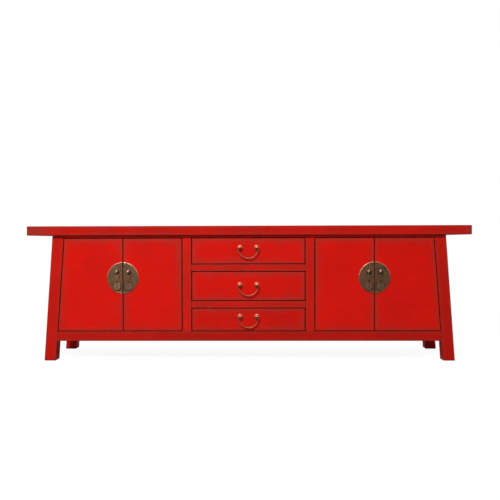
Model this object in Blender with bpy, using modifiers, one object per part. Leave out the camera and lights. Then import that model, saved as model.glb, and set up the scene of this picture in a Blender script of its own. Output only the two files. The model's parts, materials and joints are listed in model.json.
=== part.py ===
"""Low TV cabinet in red lacquer, in the East Asian manner.

A long top board on four legs that splay to the sides, two pairs of flush doors that turn on wooden pivots, and
three dovetailed drawers between them. The brasses are two split medallions with hung drop pulls, and a bail on
two ball posts for each drawer. Metres, X to the right, Y to the back, Z up; the front faces -Y, and the origin
is on the floor under the middle of the top board.
"""
import math

import bmesh
import bpy
from mathutils import Matrix, Vector

# Fits
FIT = 0.0003                # gap left between pieces that touch
GAP = 0.003                 # shadow gap round the doors and the drawer fronts
RUN = 0.0005                # running gap under a drawer, and between a closed door and its stop

# Top board
TOP_LENGTH = 1.800
TOP_DEPTH = 0.400
TOP_T = 0.038
TOP_ROUND = 0.003
END_OVERHANG = 0.099        # from a leg's outer face, right under the board, to the board's end
FRONT_OVERHANG = 0.020
BACK_OVERHANG = 0.010

# Legs
FLOOR_CLEARANCE = 0.0805    # from the floor to the bottom rails
SPLAY_DEG = 4.05
LEG_W = 0.047
LEG_D = 0.055
LEG_ROUND = 0.002
LEG_TENON_H = 0.016
LEG_TENON_SHOULDER = 0.012

# Front frame
FRAME_D = 0.036             # depth of the front rails and stiles
FRAME_ROUND = 0.0015
BOTTOM_RAIL_H = 0.039
TOP_RAIL_H = 0.010
DRAWER_RAIL_H = 0.028
STILE_W = 0.0365
DRAWER_BAY_W = 0.465
DRAWER_OPENINGS = {"bottom": 0.096, "middle": 0.1215, "top": 0.109}

# Rear frame and side frames
REAR_RAIL_D = 0.022
REAR_TOP_RAIL_H = 0.045
REAR_SETBACK = 0.002        # of the rear rails, behind the legs' back faces
SIDE_RAIL_T = 0.024
SIDE_SETBACK = 0.006        # of the side rails, inside the legs' outer faces

# Joinery
TENON_L = 0.018
TENON_SHOULDER = 0.006
TENON_ROOT = 0.010          # how far a tenon reaches back into its own piece
THIN_SHOULDER = 0.003       # shoulder on the thin top rail
TENON_T = 0.012
TENON_SETBACK = 0.010       # of the front frame's tenons, behind the face
GROOVE = 0.007
RABBET = 0.006

# Boards and panels
FLOOR_T = 0.012
DUST_T = 0.009
DUST_DADO = 0.004
PARTITION_T = 0.012
SIDE_PANEL_T = 0.008
BACK_PANEL_T = 0.006

# Doors
DOOR_T = 0.020
DOOR_ROUND = 0.0015
PIVOT_D = 0.009
PIVOT_L = 0.006             # length of a pivot inside its rail
PIVOT_PLAY = 0.0004
CORNER_SWEEP = 0.75         # share of the gap that the hinge edge's front corner sweeps through
STOP_H = 0.012              # of the stop behind the doors' top edges
STOP_RELIEF = 0.006         # from the sweep of the hinge edge to the end of the stop

# Medallions and drop pulls
MEDALLION_D = 0.129
MEDALLION_RISE = 0.028      # of a medallion's centre above the middle of its doors
MEDALLION_SPLIT = 0.0005    # each half stops this far inside its door's edge
PLATE_T = 0.0022
PLATE_CROWN = 0.0008        # extra thickness at the middle
BEAD_R = 0.0024             # of the raised rim
BOSS_OUT = 0.0234           # from the doors' meeting line
BOSS_RISE = 0.0245          # above the medallion's centre
BOSS_COLLAR_D = 0.013
BOSS_STEM_D = 0.0068
BOSS_HEAD_W = 0.0120        # the head is an upright egg
BOSS_HEAD_H = 0.0180
BOSS_HEAD_T = 0.0110
BOSS_HEAD_OUT = 0.0135      # of the head's centre, in front of the plate's back
BOSS_SPIGOT_D = 0.005
BOSS_SPIGOT_L = 0.012
DROP_OUT = 0.0065           # of the drop pull's pin, in front of the plate's back
DROP_PIN_D = 0.0022
DROP_L = 0.0745
DROP_W = 0.029
DROP_T = 0.0026
DROP_NECK_W = 0.0165
DROP_NECK_DOWN = 0.024      # of the neck, below the pin
DROP_FORK_SPACE = 0.0035    # between the boss head's lower end and the crotch of the fork
DROP_FORK_ARM = 0.0034
DROP_STUD_D = 0.0052
DROP_STUD_H = 0.0014
DROP_STUD_DOWN = 0.0395     # of the stud, below the pin

# Drawers
DRAWER_REAR_SPACE = 0.026   # between a shut drawer and the rear rails
DRAWER_FRONT_T = 0.018
DRAWER_ROUND = 0.0015
DRAWER_SIDE_T = 0.010
DRAWER_BACK_T = 0.009
DRAWER_BOTTOM_T = 0.006
DRAWER_HEADROOM = 0.014     # over the drawer sides
DRAWER_BACK_DROP = 0.006    # of the drawer back, below the sides
DRAWER_BOTTOM_RISE = 0.008  # of the drawer bottom, above the sides' lower edges
DRAWER_DADO = 0.004
DOVETAIL_L = 0.012
DOVETAIL_PITCH = 0.030
DOVETAIL_W = 0.016          # at the root of a tail
DOVETAIL_SPREAD = 0.002     # by which a tail widens to each side at its tip

# Drawer pulls
PULL_SPACING = 0.068
PULL_RISE = {"bottom": 0.013, "middle": 0.006, "top": 0.014}
POST_COLLAR_D = 0.0165
POST_COLLAR_T = 0.0018
POST_NECK_D = 0.0064
POST_BALL_D = 0.0120
POST_BALL_OUT = 0.0125      # of the ball's centre, in front of the drawer front
POST_SPIGOT_D = 0.005
POST_SPIGOT_L = 0.012
BAIL_D = 0.0038
BAIL_SWELL = 1.25           # of the bail's middle, beside its ends
BAIL_PIN_L = 0.0040         # of a bail's end inside its post
BAIL_BEND_R = 0.0028

# Facets
ROUND_STEPS = 40
SMALL_STEPS = 14
EGG_RINGS = 8
PIN_STEPS = 12

# Worked out from the sizes above
SPLAY = math.tan(math.radians(SPLAY_DEG))
FACE_Y = FRONT_OVERHANG - TOP_DEPTH / 2
REAR_Y = TOP_DEPTH / 2 - BACK_OVERHANG
RAIL_TOP = FLOOR_CLEARANCE + BOTTOM_RAIL_H
OPENING_TOP = RAIL_TOP + sum(DRAWER_OPENINGS.values()) + 2 * DRAWER_RAIL_H
UNDERSIDE = OPENING_TOP + TOP_RAIL_H
LEG_TOP_X = TOP_LENGTH / 2 - END_OVERHANG
FRAME_BACK_Y = FACE_Y + FRAME_D
REAR_RAIL_BACK_Y = REAR_Y - REAR_SETBACK
REAR_RAIL_FRONT_Y = REAR_RAIL_BACK_Y - REAR_RAIL_D
BAY_X = DRAWER_BAY_W / 2
STILE_X = BAY_X + STILE_W
DOOR_LOW = RAIL_TOP + GAP
DOOR_HIGH = OPENING_TOP - GAP
PIVOT_Y = FACE_Y + DOOR_T / 2
SWEEP = CORNER_SWEEP * GAP
# The hinge edge's front corner turns on a radius that passes its resting place by no more than SWEEP.
PIVOT_INSET = ((DOOR_T / 2) ** 2 - SWEEP ** 2) / (2 * SWEEP)
MEDALLION_Z = (DOOR_LOW + DOOR_HIGH) / 2 + MEDALLION_RISE
BOSS_Z = MEDALLION_Z + BOSS_RISE
PLATE_Y = FACE_Y - FIT
DROP_Y = PLATE_Y - DROP_OUT
DROP_FORK_L = BOSS_HEAD_H / 2 + DROP_FORK_SPACE  # from the pin to the crotch of the fork
DRAWER_L = REAR_RAIL_FRONT_Y - DRAWER_REAR_SPACE - FACE_Y
POST_Y = FACE_Y - FIT
SIDES = {"left": -1, "right": 1}
TO_FRONT = (math.pi / 2, 0, 0)  # turns local Z to the front and local Y upwards


def leg_outer(z):
    """Distance of a leg's outer face from the middle of the cabinet, at a height."""
    return LEG_TOP_X + SPLAY * (UNDERSIDE - z)


def leg_inner(z):
    return leg_outer(z) - LEG_W


MEET_X = (STILE_X + leg_inner(OPENING_TOP)) / 2


def new_collection(name):
    made = bpy.data.collections.new(name)
    bpy.context.scene.collection.children.link(made)
    return made


def clear_scene():
    for obj in list(bpy.data.objects):
        bpy.data.objects.remove(obj, do_unlink=True)


clear_scene()
CABINET = new_collection("low_tv_cabinet")
CUTTERS = new_collection("cutters")


def new_finish(name, colour, roughness, metallic=0.0):
    made = bpy.data.materials.new(name)
    made.use_nodes = True
    shader = made.node_tree.nodes["Principled BSDF"]
    shader.inputs["Base Color"].default_value = (*colour, 1.0)
    shader.inputs["Roughness"].default_value = roughness
    shader.inputs["Metallic"].default_value = metallic
    return made


LACQUER = new_finish("red_lacquer", (0.56, 0.012, 0.006), 0.32)
ELM = new_finish("plain_elm", (0.42, 0.24, 0.11), 0.60)
AGED_BRASS = new_finish("aged_brass", (0.17, 0.075, 0.035), 0.42, 1.0)
BRIGHT_BRASS = new_finish("bright_brass", (0.62, 0.25, 0.10), 0.34, 1.0)


def add_mesh(name, mesh, finish):
    """Puts a mesh in the scene as a piece of the cabinet or, with no finish, as a cutter."""
    obj = bpy.data.objects.new(name, mesh)
    if finish is None:
        CUTTERS.objects.link(obj)
        obj.hide_render = True
        obj.display_type = "WIRE"
    else:
        CABINET.objects.link(obj)
        mesh.materials.append(finish)
    return obj


def mesh_of(name, work):
    mesh = bpy.data.meshes.new(name)
    work.to_mesh(mesh)
    work.free()
    return mesh


def box(name, low, high, finish=None, shape=None, grow=0.0, rounding=0.0):
    """A box between two corners, grown on every side, about its own centre."""
    low = Vector(low) - Vector((grow, grow, grow))
    high = Vector(high) + Vector((grow, grow, grow))
    work = bmesh.new()
    bmesh.ops.create_cube(work, size=1.0)
    bmesh.ops.scale(work, vec=high - low, verts=work.verts)
    obj = add_mesh(name, mesh_of(name, work), finish)
    obj.location = (low + high) / 2
    if shape:
        shape(obj)
    if rounding:
        round_edges(obj, rounding)
    return obj


def lean(side):
    """A shape for box: shears it to splay with the legs of one side."""
    def apply(obj):
        obj.data.transform(Matrix.Shear("XY", 4, (-side * SPLAY, 0)))
    return apply


def flare(obj):
    """A shape for box: cuts both its ends to run along the legs."""
    for vertex in obj.data.vertices:
        vertex.co.x -= math.copysign(SPLAY, vertex.co.x) * vertex.co.z


def beside(side, near, far):
    """Lowest and highest X of a span given by its distances from the middle, on one side."""
    return sorted((side * near, side * far))


def round_edges(obj, width):
    bevel = obj.modifiers.new("Rounding", "BEVEL")
    bevel.width = width
    bevel.segments = 2
    bevel.limit_method = "ANGLE"


def boolean(obj, tool, operation):
    modifier = obj.modifiers.new(tool.name, "BOOLEAN")
    modifier.object = tool
    modifier.operation = operation
    modifier.solver = "EXACT"


def cut(pieces, cutter):
    for piece in pieces:
        boolean(piece, cutter, "DIFFERENCE")


def tenon(owner, mate, low, high, shape=None):
    """A tenon on one piece, with its mortise in another."""
    name = f"{owner.name}_in_{mate.name}"
    boolean(owner, box(f"{name}_tenon", low, high, shape=shape), "UNION")
    cut([mate], box(f"{name}_mortise", low, high, shape=shape, grow=FIT))


def housed(name, low, high, finish, mates, shape=None):
    """A board or panel, with the grooves that hold it in the pieces round it."""
    panel = box(name, low, high, finish, shape)
    cut(mates, box(f"{name}_groove", low, high, shape=shape, grow=FIT))
    return panel


def turned(name, profile, steps, finish=None):
    """A solid turned about its local Z, from (radius, height) points that run down its outer side."""
    work = bmesh.new()
    points = [work.verts.new((radius, 0, height)) for radius, height in profile]
    for upper, lower in zip(points, points[1:]):
        work.edges.new((upper, lower))
    obj = add_mesh(name, mesh_of(name, work), finish)
    screw = obj.modifiers.new("Turning", "SCREW")
    screw.steps = steps
    screw.render_steps = steps
    screw.use_merge_vertices = True
    screw.merge_threshold = 0.00001
    screw.use_smooth_shade = True
    return obj


def rod(name, diameter, length, centre, rotation):
    """A plain round rod along its local Z, as a tool."""
    work = bmesh.new()
    bmesh.ops.create_cone(
        work, cap_ends=True, segments=PIN_STEPS, radius1=diameter / 2, radius2=diameter / 2, depth=length
    )
    obj = add_mesh(name, mesh_of(name, work), None)
    obj.location = centre
    obj.rotation_euler = rotation
    return obj


def egg(name, size, centre):
    """A round head of a width, depth and height, as a tool."""
    work = bmesh.new()
    bmesh.ops.create_uvsphere(work, u_segments=SMALL_STEPS, v_segments=EGG_RINGS, radius=0.5)
    bmesh.ops.scale(work, vec=size, verts=work.verts)
    obj = add_mesh(name, mesh_of(name, work), None)
    obj.location = centre
    return obj


def slab(name, outline, thickness, finish):
    """A flat piece of an outline in its local XY, as a mesh centred on that plane."""
    curve = bpy.data.curves.new(name, "CURVE")
    curve.dimensions = "2D"
    curve.fill_mode = "BOTH"
    curve.extrude = thickness / 2
    spline = curve.splines.new("POLY")
    spline.points.add(len(outline) - 1)
    for point, (x, y) in zip(spline.points, outline):
        point.co = (x, y, 0, 1)
    spline.use_cyclic_u = True
    flat = bpy.data.objects.new(f"{name}_outline", curve)
    CUTTERS.objects.link(flat)
    seen = flat.evaluated_get(bpy.context.evaluated_depsgraph_get())
    work = bmesh.new()
    work.from_mesh(bpy.data.meshes.new_from_object(seen))
    bmesh.ops.remove_doubles(work, verts=work.verts, dist=FIT / 10)
    bmesh.ops.recalc_face_normals(work, faces=work.faces)
    bpy.data.objects.remove(flat, do_unlink=True)
    return add_mesh(name, mesh_of(name, work), finish)


def arc(centre, radius, start, stop, count):
    """Points on an arc, from one angle in degrees to another."""
    turns = [math.radians(start + (stop - start) * i / count) for i in range(count + 1)]
    return [(centre[0] + radius * math.cos(a), centre[1] + radius * math.sin(a)) for a in turns]


def joint(name, place, parent=None):
    """An empty on a joint's axis, which carries the pieces that move there."""
    empty = bpy.data.objects.new(name, None)
    empty.empty_display_size = 0.03
    CABINET.objects.link(empty)
    empty.location = place
    if parent:
        carry(parent, [empty])
    return empty


def carry(empty, pieces):
    """Parents pieces to an empty and leaves them where they are."""
    bpy.context.view_layer.update()
    for piece in pieces:
        piece.parent = empty
        piece.matrix_parent_inverse = empty.matrix_world.inverted()


def make_top_board():
    return box(
        "top_board",
        (-TOP_LENGTH / 2, -TOP_DEPTH / 2, UNDERSIDE),
        (TOP_LENGTH / 2, TOP_DEPTH / 2, UNDERSIDE + TOP_T),
        LACQUER,
        rounding=TOP_ROUND,
    )


def make_leg(end, side_name, top_board):
    """A splayed leg with a level foot, tenoned upright into the top board."""
    side = SIDES[side_name]
    front = FACE_Y if end == "front" else REAR_Y - LEG_D
    top = UNDERSIDE - FIT
    low_x, high_x = beside(side, leg_inner(top / 2), leg_outer(top / 2))
    leg = box(
        f"leg_{end}_{side_name}",
        (low_x, front, 0),
        (high_x, front + LEG_D, top),
        LACQUER,
        lean(side),
        rounding=LEG_ROUND,
    )
    low_x, high_x = beside(side, leg_inner(UNDERSIDE), leg_outer(UNDERSIDE))
    tenon(
        leg,
        top_board,
        (low_x + LEG_TENON_SHOULDER, front + LEG_TENON_SHOULDER, UNDERSIDE - TENON_ROOT),
        (high_x - LEG_TENON_SHOULDER, front + LEG_D - LEG_TENON_SHOULDER, UNDERSIDE + LEG_TENON_H),
    )
    return leg


def make_cross_rail(name, low_y, high_y, low_z, high_z, tenon_y, shoulder, legs):
    """A rail between two legs, with its ends along them and a tenon into each."""
    middle = (low_z + high_z) / 2
    reach = leg_inner(middle)
    rail = box(
        name,
        (FIT - reach, low_y, low_z),
        (reach - FIT, high_y, high_z),
        LACQUER,
        flare,
        rounding=FRAME_ROUND,
    )
    for side_name, leg in legs.items():
        low_x, high_x = beside(SIDES[side_name], reach - TENON_ROOT, reach + TENON_L)
        tenon(
            rail,
            leg,
            (low_x, tenon_y, low_z + shoulder),
            (high_x, tenon_y + TENON_T, high_z - shoulder),
        )
    return rail


def make_side_rail(side_name, legs):
    """A leaning rail between the front and the rear leg of one side."""
    side = SIDES[side_name]
    outer = leg_outer((FLOOR_CLEARANCE + RAIL_TOP) / 2) - SIDE_SETBACK
    low_x, high_x = beside(side, outer - SIDE_RAIL_T, outer)
    front, back = FACE_Y + LEG_D, REAR_Y - LEG_D
    rail = box(
        f"side_rail_{side_name}",
        (low_x, front + FIT, FLOOR_CLEARANCE),
        (high_x, back - FIT, RAIL_TOP),
        LACQUER,
        lean(side),
        rounding=FRAME_ROUND,
    )
    low_x += TENON_SHOULDER
    high_x -= TENON_SHOULDER
    low_z, high_z = FLOOR_CLEARANCE + TENON_SHOULDER, RAIL_TOP - TENON_SHOULDER
    spans = {"front": (front - TENON_L, front + TENON_ROOT), "rear": (back - TENON_ROOT, back + TENON_L)}
    for end, (low_y, high_y) in spans.items():
        tenon(rail, legs[end, side_name], (low_x, low_y, low_z), (high_x, high_y, high_z), lean(side))
    return rail


def make_side_panel(side_name, legs, rail):
    """A leaning panel, housed in the two legs and the side rail."""
    side = SIDES[side_name]
    low_z, high_z = RAIL_TOP - GROOVE, UNDERSIDE - FIT
    middle = leg_outer((low_z + high_z) / 2) - SIDE_SETBACK - SIDE_RAIL_T / 2
    low_x, high_x = beside(side, middle - SIDE_PANEL_T / 2, middle + SIDE_PANEL_T / 2)
    return housed(
        f"side_panel_{side_name}",
        (low_x, FACE_Y + LEG_D - GROOVE, low_z),
        (high_x, REAR_Y - LEG_D + GROOVE, high_z),
        LACQUER,
        [legs["front", side_name], legs["rear", side_name], rail],
        lean(side),
    )


def make_back_panel(legs, rails):
    low_z, high_z = RAIL_TOP - GROOVE, UNDERSIDE - FIT - REAR_TOP_RAIL_H + GROOVE
    reach = leg_inner((low_z + high_z) / 2) + GROOVE
    middle_y = (REAR_RAIL_FRONT_Y + RABBET + REAR_RAIL_BACK_Y) / 2
    return housed(
        "back_panel",
        (-reach, middle_y - BACK_PANEL_T / 2, low_z),
        (reach, middle_y + BACK_PANEL_T / 2, high_z),
        ELM,
        [legs["rear", "left"], legs["rear", "right"], *rails],
        flare,
    )


def make_floor_board(legs, rails):
    """The cabinet's floor: rabbeted into the front and rear rails, and notched round the legs."""
    low_z = RAIL_TOP - FLOOR_T
    reach = leg_outer((low_z + RAIL_TOP) / 2) - SIDE_SETBACK - SIDE_RAIL_T - FIT
    board = housed(
        "floor_board",
        (-reach, FRAME_BACK_Y - RABBET, low_z),
        (reach, REAR_RAIL_FRONT_Y + RABBET, RAIL_TOP),
        ELM,
        rails,
        flare,
    )
    for end, side_name in legs:
        side = SIDES[side_name]
        front = FACE_Y if end == "front" else REAR_Y - LEG_D
        low_x, high_x = beside(side, leg_inner(RAIL_TOP), leg_outer(RAIL_TOP))
        notch = box(
            f"floor_notch_{end}_{side_name}",
            (low_x, front, RAIL_TOP - 2 * FLOOR_T),
            (high_x, front + LEG_D, RAIL_TOP + 2 * FLOOR_T),
            shape=lean(side),
            grow=FIT,
        )
        cut([board], notch)
    return board


def make_drawer_stile(side_name, top_rail, bottom_rail):
    """An upright between a pair of doors and the drawers, tenoned into the rails over and under it."""
    low_x, high_x = beside(SIDES[side_name], BAY_X, STILE_X)
    stile = box(
        f"drawer_stile_{side_name}",
        (low_x, FACE_Y, RAIL_TOP + FIT),
        (high_x, FRAME_BACK_Y, OPENING_TOP - FIT),
        LACQUER,
        rounding=FRAME_ROUND,
    )
    low = Vector((low_x + TENON_SHOULDER, FACE_Y + TENON_SETBACK, 0))
    high = Vector((high_x - TENON_SHOULDER, FACE_Y + TENON_SETBACK + TENON_T, 0))
    spans = {
        bottom_rail: (RAIL_TOP - TENON_L, RAIL_TOP + TENON_ROOT),
        top_rail: (OPENING_TOP - TENON_ROOT, UNDERSIDE - THIN_SHOULDER),
    }
    for rail, (low_z, high_z) in spans.items():
        tenon(stile, rail, low + Vector((0, 0, low_z)), high + Vector((0, 0, high_z)))
    return stile


def make_drawer_rail(name, top, stiles):
    """A rail between two drawers, tenoned into the stiles."""
    rail = box(
        name,
        (FIT - BAY_X, FACE_Y, top - DRAWER_RAIL_H),
        (BAY_X - FIT, FRAME_BACK_Y, top),
        LACQUER,
        rounding=FRAME_ROUND,
    )
    for side_name, stile in stiles.items():
        low_x, high_x = beside(SIDES[side_name], BAY_X - TENON_ROOT, BAY_X + TENON_L)
        tenon(
            rail,
            stile,
            (low_x, FACE_Y + TENON_SETBACK, top - DRAWER_RAIL_H + TENON_SHOULDER),
            (high_x, FACE_Y + TENON_SETBACK + TENON_T, top - TENON_SHOULDER),
        )
    return rail


def make_partition(side_name, mates):
    """The wall beside the drawers, flush with their stile and rabbeted into it."""
    low_x, high_x = beside(SIDES[side_name], BAY_X, BAY_X + PARTITION_T)
    return housed(
        f"partition_{side_name}",
        (low_x, FRAME_BACK_Y - RABBET, RAIL_TOP + FIT),
        (high_x, REAR_RAIL_FRONT_Y - FIT, UNDERSIDE - FIT),
        ELM,
        mates,
    )


def make_dust_board(name, top, mates):
    """The board that carries a drawer: rabbeted into its rail, and in dados of the partitions."""
    reach = BAY_X + DUST_DADO
    return housed(
        name,
        (-reach, FRAME_BACK_Y - RABBET, top - DUST_T),
        (reach, REAR_RAIL_FRONT_Y - FIT, top),
        ELM,
        mates,
    )


def pivot_x(place, z):
    """Distance of a door's pivot axis from the middle of the cabinet, at a height."""
    if place == "inner":
        return STILE_X + GAP + PIVOT_INSET
    return leg_inner(z) - GAP - PIVOT_INSET


def add_door_stops(top_rail):
    """Stops behind the doors' top edges, in one piece with the rail, clear of the turning hinge edges."""
    relief = PIVOT_INSET + STOP_RELIEF
    for side_name, side in SIDES.items():
        near = pivot_x("inner", OPENING_TOP) + relief
        far = pivot_x("outer", OPENING_TOP) - relief
        low_x, high_x = beside(side, near, far)
        stop = box(
            f"door_stop_{side_name}",
            (low_x, FACE_Y + DOOR_T + RUN, OPENING_TOP - STOP_H),
            (high_x, FRAME_BACK_Y - FRAME_ROUND, OPENING_TOP + TOP_RAIL_H / 2),
        )
        boolean(top_rail, stop, "UNION")


def make_door(place, side_name, top_rail, bottom_rail):
    """A flush door with its two wooden pivots, on an empty at the foot of its axis."""
    side = SIDES[side_name]
    if place == "inner":
        edges = [(STILE_X + GAP, DOOR_LOW), (MEET_X - GAP / 2, DOOR_LOW)]
        edges += [(MEET_X - GAP / 2, DOOR_HIGH), (STILE_X + GAP, DOOR_HIGH)]
        slant = 0.0
    else:
        edges = [(MEET_X + GAP / 2, DOOR_LOW), (leg_inner(DOOR_LOW) - GAP, DOOR_LOW)]
        edges += [(leg_inner(DOOR_HIGH) - GAP, DOOR_HIGH), (MEET_X + GAP / 2, DOOR_HIGH)]
        slant = -side * math.radians(SPLAY_DEG)
    name = f"door_{place}_{side_name}"
    door = slab(name, [(side * x, z) for x, z in edges], DOOR_T, LACQUER)
    door.location = (0, PIVOT_Y, 0)
    door.rotation_euler = TO_FRONT
    round_edges(door, DOOR_ROUND)
    # Each pivot runs from inside the door's edge into its rail.
    reach = PIVOT_L + GAP + TENON_ROOT
    ends = {top_rail: (DOOR_HIGH - TENON_ROOT, 1), bottom_rail: (DOOR_LOW + TENON_ROOT, -1)}
    for rail, (root_z, way) in ends.items():
        middle_z = root_z + way * reach / 2
        centre = (side * pivot_x(place, middle_z), PIVOT_Y, middle_z)
        pivot = rod(f"{name}_pivot_{rail.name}", PIVOT_D, reach, centre, (0, slant, 0))
        socket = rod(
            f"{name}_socket_{rail.name}", PIVOT_D + 2 * PIVOT_PLAY, reach + 2 * FIT, centre, (0, slant, 0)
        )
        boolean(door, pivot, "UNION")
        cut([rail], socket)
    hinge = joint(f"{name}_hinge", (side * pivot_x(place, DOOR_LOW), PIVOT_Y, DOOR_LOW))
    carry(hinge, [door])
    return door, hinge


def ball_profile(out, diameter, neck_d, count=6):
    """The upper part of a turned ball, from its pole down to where it meets a neck."""
    meet = math.degrees(math.acos(neck_d / diameter))
    points = arc((0, out), diameter / 2, 90, -meet, count)
    return [(0, out + diameter / 2)] + points[1:]


def make_half_plate(place, side_name, door, hinge):
    """Half of a medallion with a beaded rim and a crowned face, and the boss riveted through it."""
    side = SIDES[side_name]
    name = f"half_plate_{place}_{side_name}"
    radius = MEDALLION_D / 2
    bead = arc((radius - BEAD_R, PLATE_T - BEAD_R / 2), BEAD_R, 150, 0, 5)
    profile = [(0, PLATE_T + PLATE_CROWN), (radius / 2, PLATE_T + PLATE_CROWN * 3 / 4)]
    profile += [(radius - 3 * BEAD_R, PLATE_T)] + bead + [(radius, 0), (0, 0)]
    plate = turned(name, profile, ROUND_STEPS, AGED_BRASS)
    plate.location = (side * MEET_X, PLATE_Y, MEDALLION_Z)
    plate.rotation_euler = TO_FRONT
    # The half on the other door's side is taken away.
    away = 1 if place == "inner" else -1
    kept_edge = MEET_X - away * (GAP / 2 + MEDALLION_SPLIT)
    low_x, high_x = beside(side, kept_edge, kept_edge + away * MEDALLION_D)
    other_half = box(
        f"{name}_other_half",
        (low_x, PLATE_Y - MEDALLION_D / 2, MEDALLION_Z - MEDALLION_D),
        (high_x, PLATE_Y + MEDALLION_D / 2, MEDALLION_Z + MEDALLION_D),
    )
    cut([plate], other_half)
    collar_z = PLATE_T + 2 * PLATE_CROWN
    profile = [(0, BOSS_HEAD_OUT), (BOSS_STEM_D / 2, BOSS_HEAD_OUT), (BOSS_STEM_D / 2, collar_z)]
    profile += [(BOSS_COLLAR_D / 2, collar_z - PLATE_CROWN / 2)]
    profile += [(BOSS_COLLAR_D / 2, PLATE_T / 2), (BOSS_SPIGOT_D / 2, PLATE_T / 2)]
    profile += [(BOSS_SPIGOT_D / 2, -BOSS_SPIGOT_L), (0, -BOSS_SPIGOT_L)]
    boss = turned(f"{name}_boss", profile, SMALL_STEPS)
    boss_x = side * (MEET_X - away * BOSS_OUT)
    boss.location = (boss_x, PLATE_Y, BOSS_Z)
    boss.rotation_euler = TO_FRONT
    boolean(plate, boss, "UNION")
    head_centre = (boss_x, PLATE_Y - BOSS_HEAD_OUT, BOSS_Z)
    boolean(plate, egg(f"{name}_head", (BOSS_HEAD_W, BOSS_HEAD_T, BOSS_HEAD_H), head_centre), "UNION")
    eye = rod(
        f"{name}_eye",
        DROP_PIN_D + 2 * FIT,
        BOSS_HEAD_W,
        (boss_x, DROP_Y, BOSS_Z),
        (0, math.pi / 2, 0),
    )
    cut([plate], eye)
    spigot_hole = rod(
        f"{name}_spigot_hole",
        BOSS_SPIGOT_D + 2 * FIT,
        2 * (BOSS_SPIGOT_L + FIT),
        (boss_x, PLATE_Y, BOSS_Z),
        TO_FRONT,
    )
    cut([door], spigot_hole)
    carry(hinge, [plate])
    return boss_x


def drop_outline():
    """Outline of a drop pull round its pin at (0, 0): a fork over a waisted neck and a round belly."""
    fork = BOSS_HEAD_W / 2 + 2 * FIT
    arm = fork + DROP_FORK_ARM
    neck, belly = DROP_NECK_W / 2, DROP_W / 2
    neck_z, belly_z = -DROP_NECK_DOWN, belly - DROP_L
    tip = arc((fork + DROP_FORK_ARM / 2, 0), DROP_FORK_ARM / 2, 180, 0, 6)
    half = [(fork, -DROP_FORK_L)] + tip + [(arm, -DROP_FORK_L)]
    steps = 8
    for i in range(steps):
        share = (1 - math.cos(math.pi * i / steps)) / 2
        half.append((neck + (belly - neck) * share, neck_z + (belly_z - neck_z) * i / steps))
    half += arc((0, belly_z), belly, 0, -90, 7)
    return half + [(-x, z) for x, z in reversed(half[:-1])]


def make_drop_pull(place, side_name, boss_x, hinge):
    """A drop pull, forked over its boss on a cross pin, with a small stud on its belly."""
    name = f"drop_pull_{place}_{side_name}"
    centre = (boss_x, DROP_Y, BOSS_Z)
    drop = slab(name, drop_outline(), DROP_T, AGED_BRASS)
    drop.location = centre
    drop.rotation_euler = TO_FRONT
    pin_l = BOSS_HEAD_W + 4 * FIT + DROP_FORK_ARM
    boolean(drop, rod(f"{name}_pin", DROP_PIN_D, pin_l, centre, (0, math.pi / 2, 0)), "UNION")
    dome_r = (DROP_STUD_D ** 2 / 4 + DROP_STUD_H ** 2) / (2 * DROP_STUD_H)
    edge = math.degrees(math.acos(DROP_STUD_D / 2 / dome_r))
    dome = arc((0, DROP_T / 2 + DROP_STUD_H - dome_r), dome_r, 90, edge, 4)
    profile = [(0, DROP_T / 2 + DROP_STUD_H)] + dome[1:] + [(DROP_STUD_D / 2, 0), (0, 0)]
    stud = turned(f"{name}_stud", profile, SMALL_STEPS)
    stud.location = (boss_x, DROP_Y, BOSS_Z - DROP_STUD_DOWN)
    stud.rotation_euler = TO_FRONT
    boolean(drop, stud, "UNION")
    carry(joint(f"{name}_pivot", centre, hinge), [drop])


def dovetails(name, side, low_z, high_z, grow=0.0):
    """The row of tails at the front end of a drawer side, as one tool for the side or for its front."""
    count = max(2, round((high_z - low_z) / DOVETAIL_PITCH))
    pitch = (high_z - low_z) / count
    end_x = BAY_X - GAP
    low_x, high_x = beside(side, end_x - DRAWER_SIDE_T - grow, end_x + grow)
    tip_y = FACE_Y + DRAWER_FRONT_T - DOVETAIL_L - grow
    root_y = FACE_Y + DRAWER_FRONT_T + DRAWER_SIDE_T
    slope = DOVETAIL_SPREAD / DOVETAIL_L
    work = bmesh.new()
    for i in range(count):
        tail = bmesh.ops.create_cube(work, size=1.0)["verts"]
        for vertex in tail:
            at_tip = vertex.co.y < 0
            shoulder_y = FACE_Y + DRAWER_FRONT_T
            y = tip_y if at_tip else root_y
            half_w = DOVETAIL_W / 2 + grow + slope * (shoulder_y - y)
            middle_z = low_z + pitch * (i + 0.5)
            x = low_x if vertex.co.x < 0 else high_x
            vertex.co = (x, y, middle_z + math.copysign(half_w, vertex.co.z))
    return add_mesh(name, mesh_of(name, work), None)


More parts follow.
